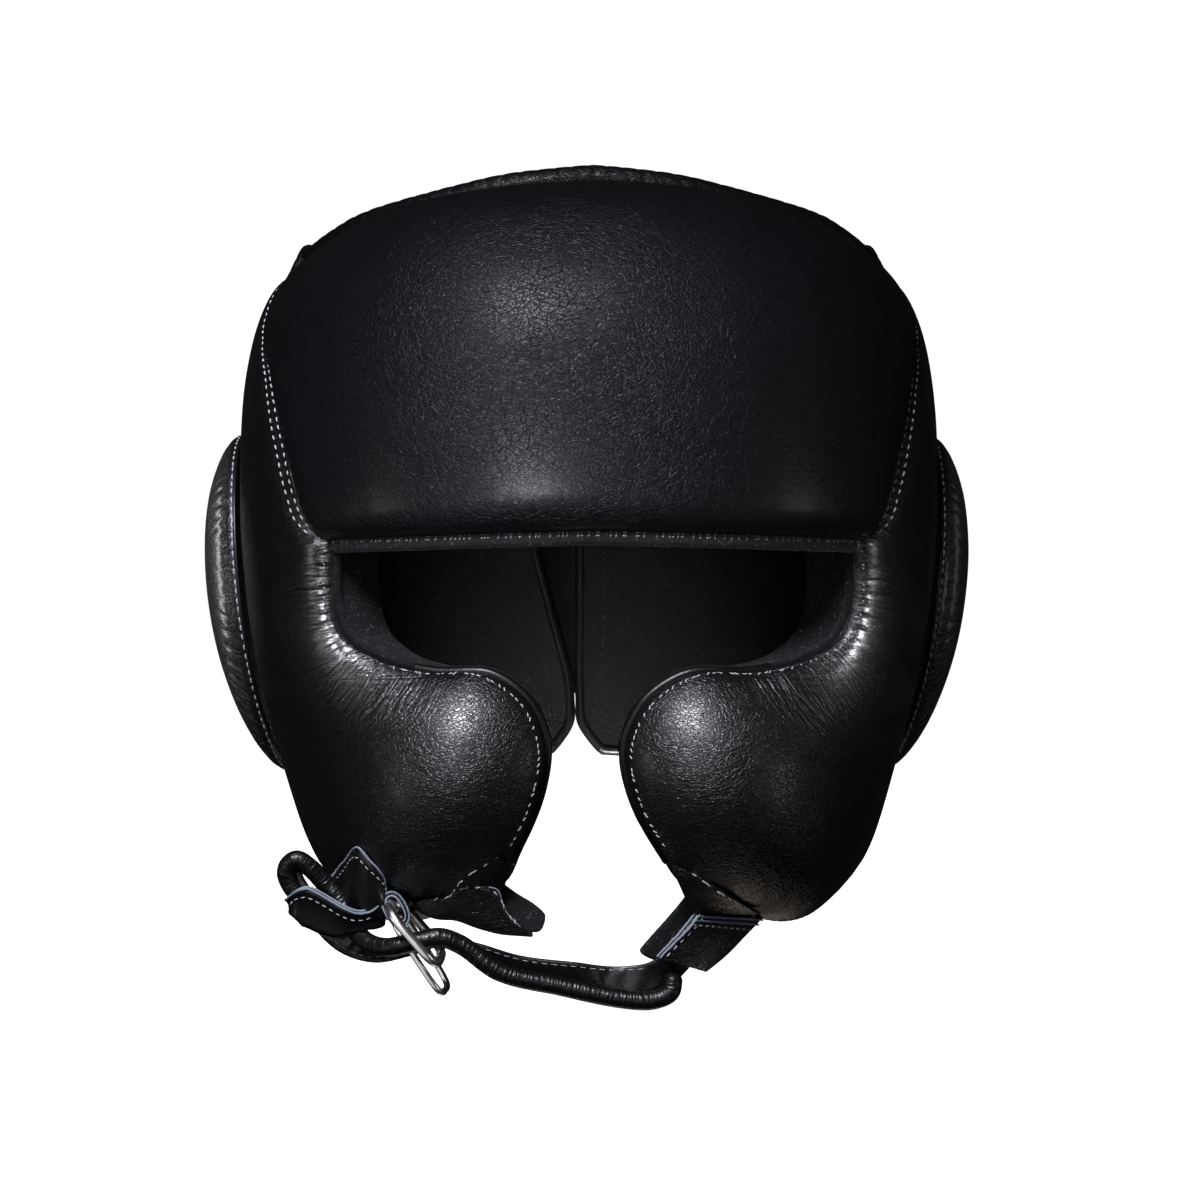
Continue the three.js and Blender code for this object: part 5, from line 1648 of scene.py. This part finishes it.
class GUARD_OT_stage(bpy.types.Operator):
    """Pale floor, soft lamps and the camera"""

    bl_idname = "guard.stage"
    bl_label = "Stage"

    TARGET = Vector((0, 0, -0.118))
    SHIFT = (12 / 1200, -4.5 / 1200)
    # Metres: the floor under the part's box, its flat reach, the bend into the wall and the wall's height
    FLOOR_DROP, FLOOR_REACH, FLOOR_BEND, WALL_HEIGHT = 0.06, 4, 1.5, 9.0
    FLOOR_SECTORS = 64
    # Degrees to the viewer's right and up, metres away. "only" names the pieces that a lamp lights, "aim" a
    # target of its own and "spread" the angle of its beam. The colour is white where none is given.
    LAMPS = [
        dict(name="key", az=-18, el=44, away=1.6, size=(0.5, 0.5), power=48, colour=COOL),
        dict(name="fill", az=-14, el=6, away=2.2, size=(0.9, 0.9), power=6.5, colour=(0.9, 0.92, 1)),
        dict(name="left", az=-64, el=-7, away=1.4, size=(0.3, 0.5), power=1.5, colour=WARM),
        dict(name="right", az=62, el=-6, away=1.4, size=(0.3, 0.5), power=1.5, colour=WARM),
        dict(name="bounce", az=180, el=-70, away=0.6, size=(0.3, 0.3), power=0.3, colour=(1, 0.86, 0.76)),
        dict(
            name="neck_glow", az=0, el=-45, away=0.13, size=(0.1, 0.02), power=0.11, colour=(0.95, 0.97, 1),
            only="back_", aim=(0, 0.09, -0.178), spread=50,
        ),
        dict(
            name="ring_glow", az=-30, el=-20, away=0.8, size=(1.2, 1.2), power=3, colour=(1, 0.98, 0.96),
            only="steel_",
        ),
        dict(name="ear_glow_left", az=-112, el=2, away=1.2, size=(0.12, 0.7), power=3, only="ear_leather_left"),
        dict(name="ear_glow_right", az=112, el=2, away=1.2, size=(0.12, 0.7), power=0.2, only="ear_leather_right"),
        dict(
            name="forehead_glow", az=-15, el=-2, away=1.6, size=(0.3, 0.5), power=26, colour=(0.88, 0.88, 1),
            only="forehead_leather",
        ),
        dict(name="rear_left", az=-150, el=32, away=1.8, size=(0.8, 0.7), power=14, only=REAR_PIECES),
        dict(name="rear_right", az=160, el=20, away=1.8, size=(0.8, 0.7), power=9, only=REAR_PIECES),
        dict(
            name="gathers_left", az=-42, el=18, away=0.35, size=(0.03, 0.03), power=0.006, colour=COOL,
            only="cheek_leather_left", aim=(-0.078, -0.083, -0.126), spread=8,
        ),
        dict(
            name="gathers_right", az=54, el=12, away=0.35, size=(0.03, 0.03), power=0.0045, colour=COOL,
            only="cheek_leather_right", aim=(0.079, -0.083, -0.129), spread=8,
        ),
        dict(name="brow_glow", az=-10, el=-4, away=0.9, size=(0.6, 0.2), power=5, only="brow_suede"),
    ]

    def execute(self, context):
        scene, look = context.scene, settings().stage
        self.camera(scene, look)
        for lamp in self.LAMPS:
            self.lamp(scene, lamp, look.light)
        self.world(scene)
        self.floor(scene)
        scene.view_settings.view_transform = "Standard"
        return {"FINISHED"}

    @staticmethod
    def aim(item, target, back, away):
        """Puts a camera or lamp some way back from its target, looking at it."""
        item.location = Vector(target) + back * away
        item.rotation_euler = (-back).to_track_quat("-Z", "Y").to_euler()

    def camera(self, scene, look):
        data = bpy.data.cameras.new("photo_view")
        data.sensor_width = 36
        data.lens = data.sensor_width * look.distance / look.width
        data.shift_x, data.shift_y = self.SHIFT
        item = bpy.data.objects.new("photo_view", data)
        self.aim(item, self.TARGET, direction(look.azimuth, look.elevation), look.distance)
        scene.collection.objects.link(item)
        scene.camera = item

    def lamp(self, scene, lamp, strength):
        data = bpy.data.lights.new(lamp["name"], "AREA")
        data.shape = "RECTANGLE"
        data.size, data.size_y = lamp["size"]
        data.energy = lamp["power"] * strength
        data.color = lamp.get("colour", WHITE)
        data.spread = math.radians(lamp.get("spread", 180))
        item = bpy.data.objects.new(lamp["name"], data)
        back = direction(math.radians(lamp["az"]), math.radians(lamp["el"]))
        self.aim(item, lamp.get("aim", self.TARGET), back, lamp["away"])
        item.visible_camera = False
        scene.collection.objects.link(item)
        if "only" in lamp:
            lit = bpy.data.collections.new("lit_by_" + lamp["name"])
            for piece in scene.objects:
                if piece.name.startswith(lamp["only"]):
                    lit.objects.link(piece)
            item.light_linking.receiver_collection = lit

    def world(self, scene):
        world = bpy.data.worlds.new("studio")
        world.use_nodes = True
        light = world.node_tree.nodes["Background"].inputs
        light["Color"].default_value, light["Strength"].default_value = (0.95, 0.95, 0.95, 1), 0.01
        scene.world = world

    def floor(self, scene):
        """Round floor that curves up into a wall all round, seen by the camera only."""
        flat, bend, sectors = self.FLOOR_REACH, self.FLOOR_BEND, self.FLOOR_SECTORS
        turn = np.linspace(0, math.pi / 2, 12)[1:]
        reach = np.concatenate([np.linspace(0.01, flat, 20), flat + bend * np.sin(turn), [flat + bend]])
        lift = np.concatenate([np.zeros(20), bend * (1 - np.cos(turn)), [self.WALL_HEIGHT]])
        around = np.linspace(0, 2 * math.pi, sectors, endpoint=False)
        height = CAD_BOX[0].z - self.FLOOR_DROP + lift[:, None] + 0 * around
        points = np.stack([reach[:, None] * np.cos(around), reach[:, None] * np.sin(around), height], axis=-1)
        mesh = bpy.data.meshes.new("floor")
        faces = [*grid_faces(len(reach), sectors, closed_columns=True, flip=True), tuple(range(sectors))]
        mesh.from_pydata(points.reshape(-1, 3).tolist(), [], faces)
        mesh.polygons.foreach_set("use_smooth", np.ones(len(mesh.polygons), bool))
        paper = Finish("backdrop_paper")
        paper.set(base_color=(0.9, 0.9, 0.9, 1), roughness=0.9, emission_color=(1, 1, 1, 1), emission_strength=1.0)
        mesh.materials.append(paper.material)
        item = bpy.data.objects.new("floor", mesh)
        item.visible_glossy = item.visible_diffuse = item.visible_shadow = False
        scene.collection.objects.link(item)


PIECE_OPERATORS = (
    GUARD_OT_forehead,
    GUARD_OT_side_pads,
    GUARD_OT_ear_pads,
    GUARD_OT_crown,
    GUARD_OT_brow,
    GUARD_OT_back,
    GUARD_OT_chin,
    GUARD_OT_stage,
)


class GUARD_PT_panel(bpy.types.Panel):
    """Lists the pieces and their settings"""

    bl_idname = "GUARD_PT_panel"
    bl_label = "Head guard"
    bl_space_type = "VIEW_3D"
    bl_region_type = "UI"
    bl_category = "Head guard"

    def draw(self, context):
        for operator in PIECE_OPERATORS:
            self.layout.operator(operator.bl_idname)
        for group in (getattr(settings(), name) for name in GuardSettings.__annotations__):
            box = self.layout.box()
            for name in group.__annotations__:
                box.prop(group, name)


CLASSES = (
    LeatherSettings,
    SuedeSettings,
    ThreadSettings,
    SteelSettings,
    PadSettings,
    StageSettings,
    GuardSettings,
    *PIECE_OPERATORS,
    GUARD_PT_panel,
)


def register():
    for item in CLASSES:
        bpy.utils.register_class(item)
    bpy.types.Scene.head_guard = PointerProperty(type=GuardSettings)


def unregister():
    del bpy.types.Scene.head_guard
    for item in reversed(CLASSES):
        bpy.utils.unregister_class(item)


def main():
    register()
    bpy.ops.guard.forehead()
    bpy.ops.guard.side_pads()
    bpy.ops.guard.ear_pads()
    bpy.ops.guard.crown()
    bpy.ops.guard.brow()
    bpy.ops.guard.back()
    bpy.ops.guard.chin()
    bpy.ops.guard.stage()


if __name__ == "__main__":
    main()
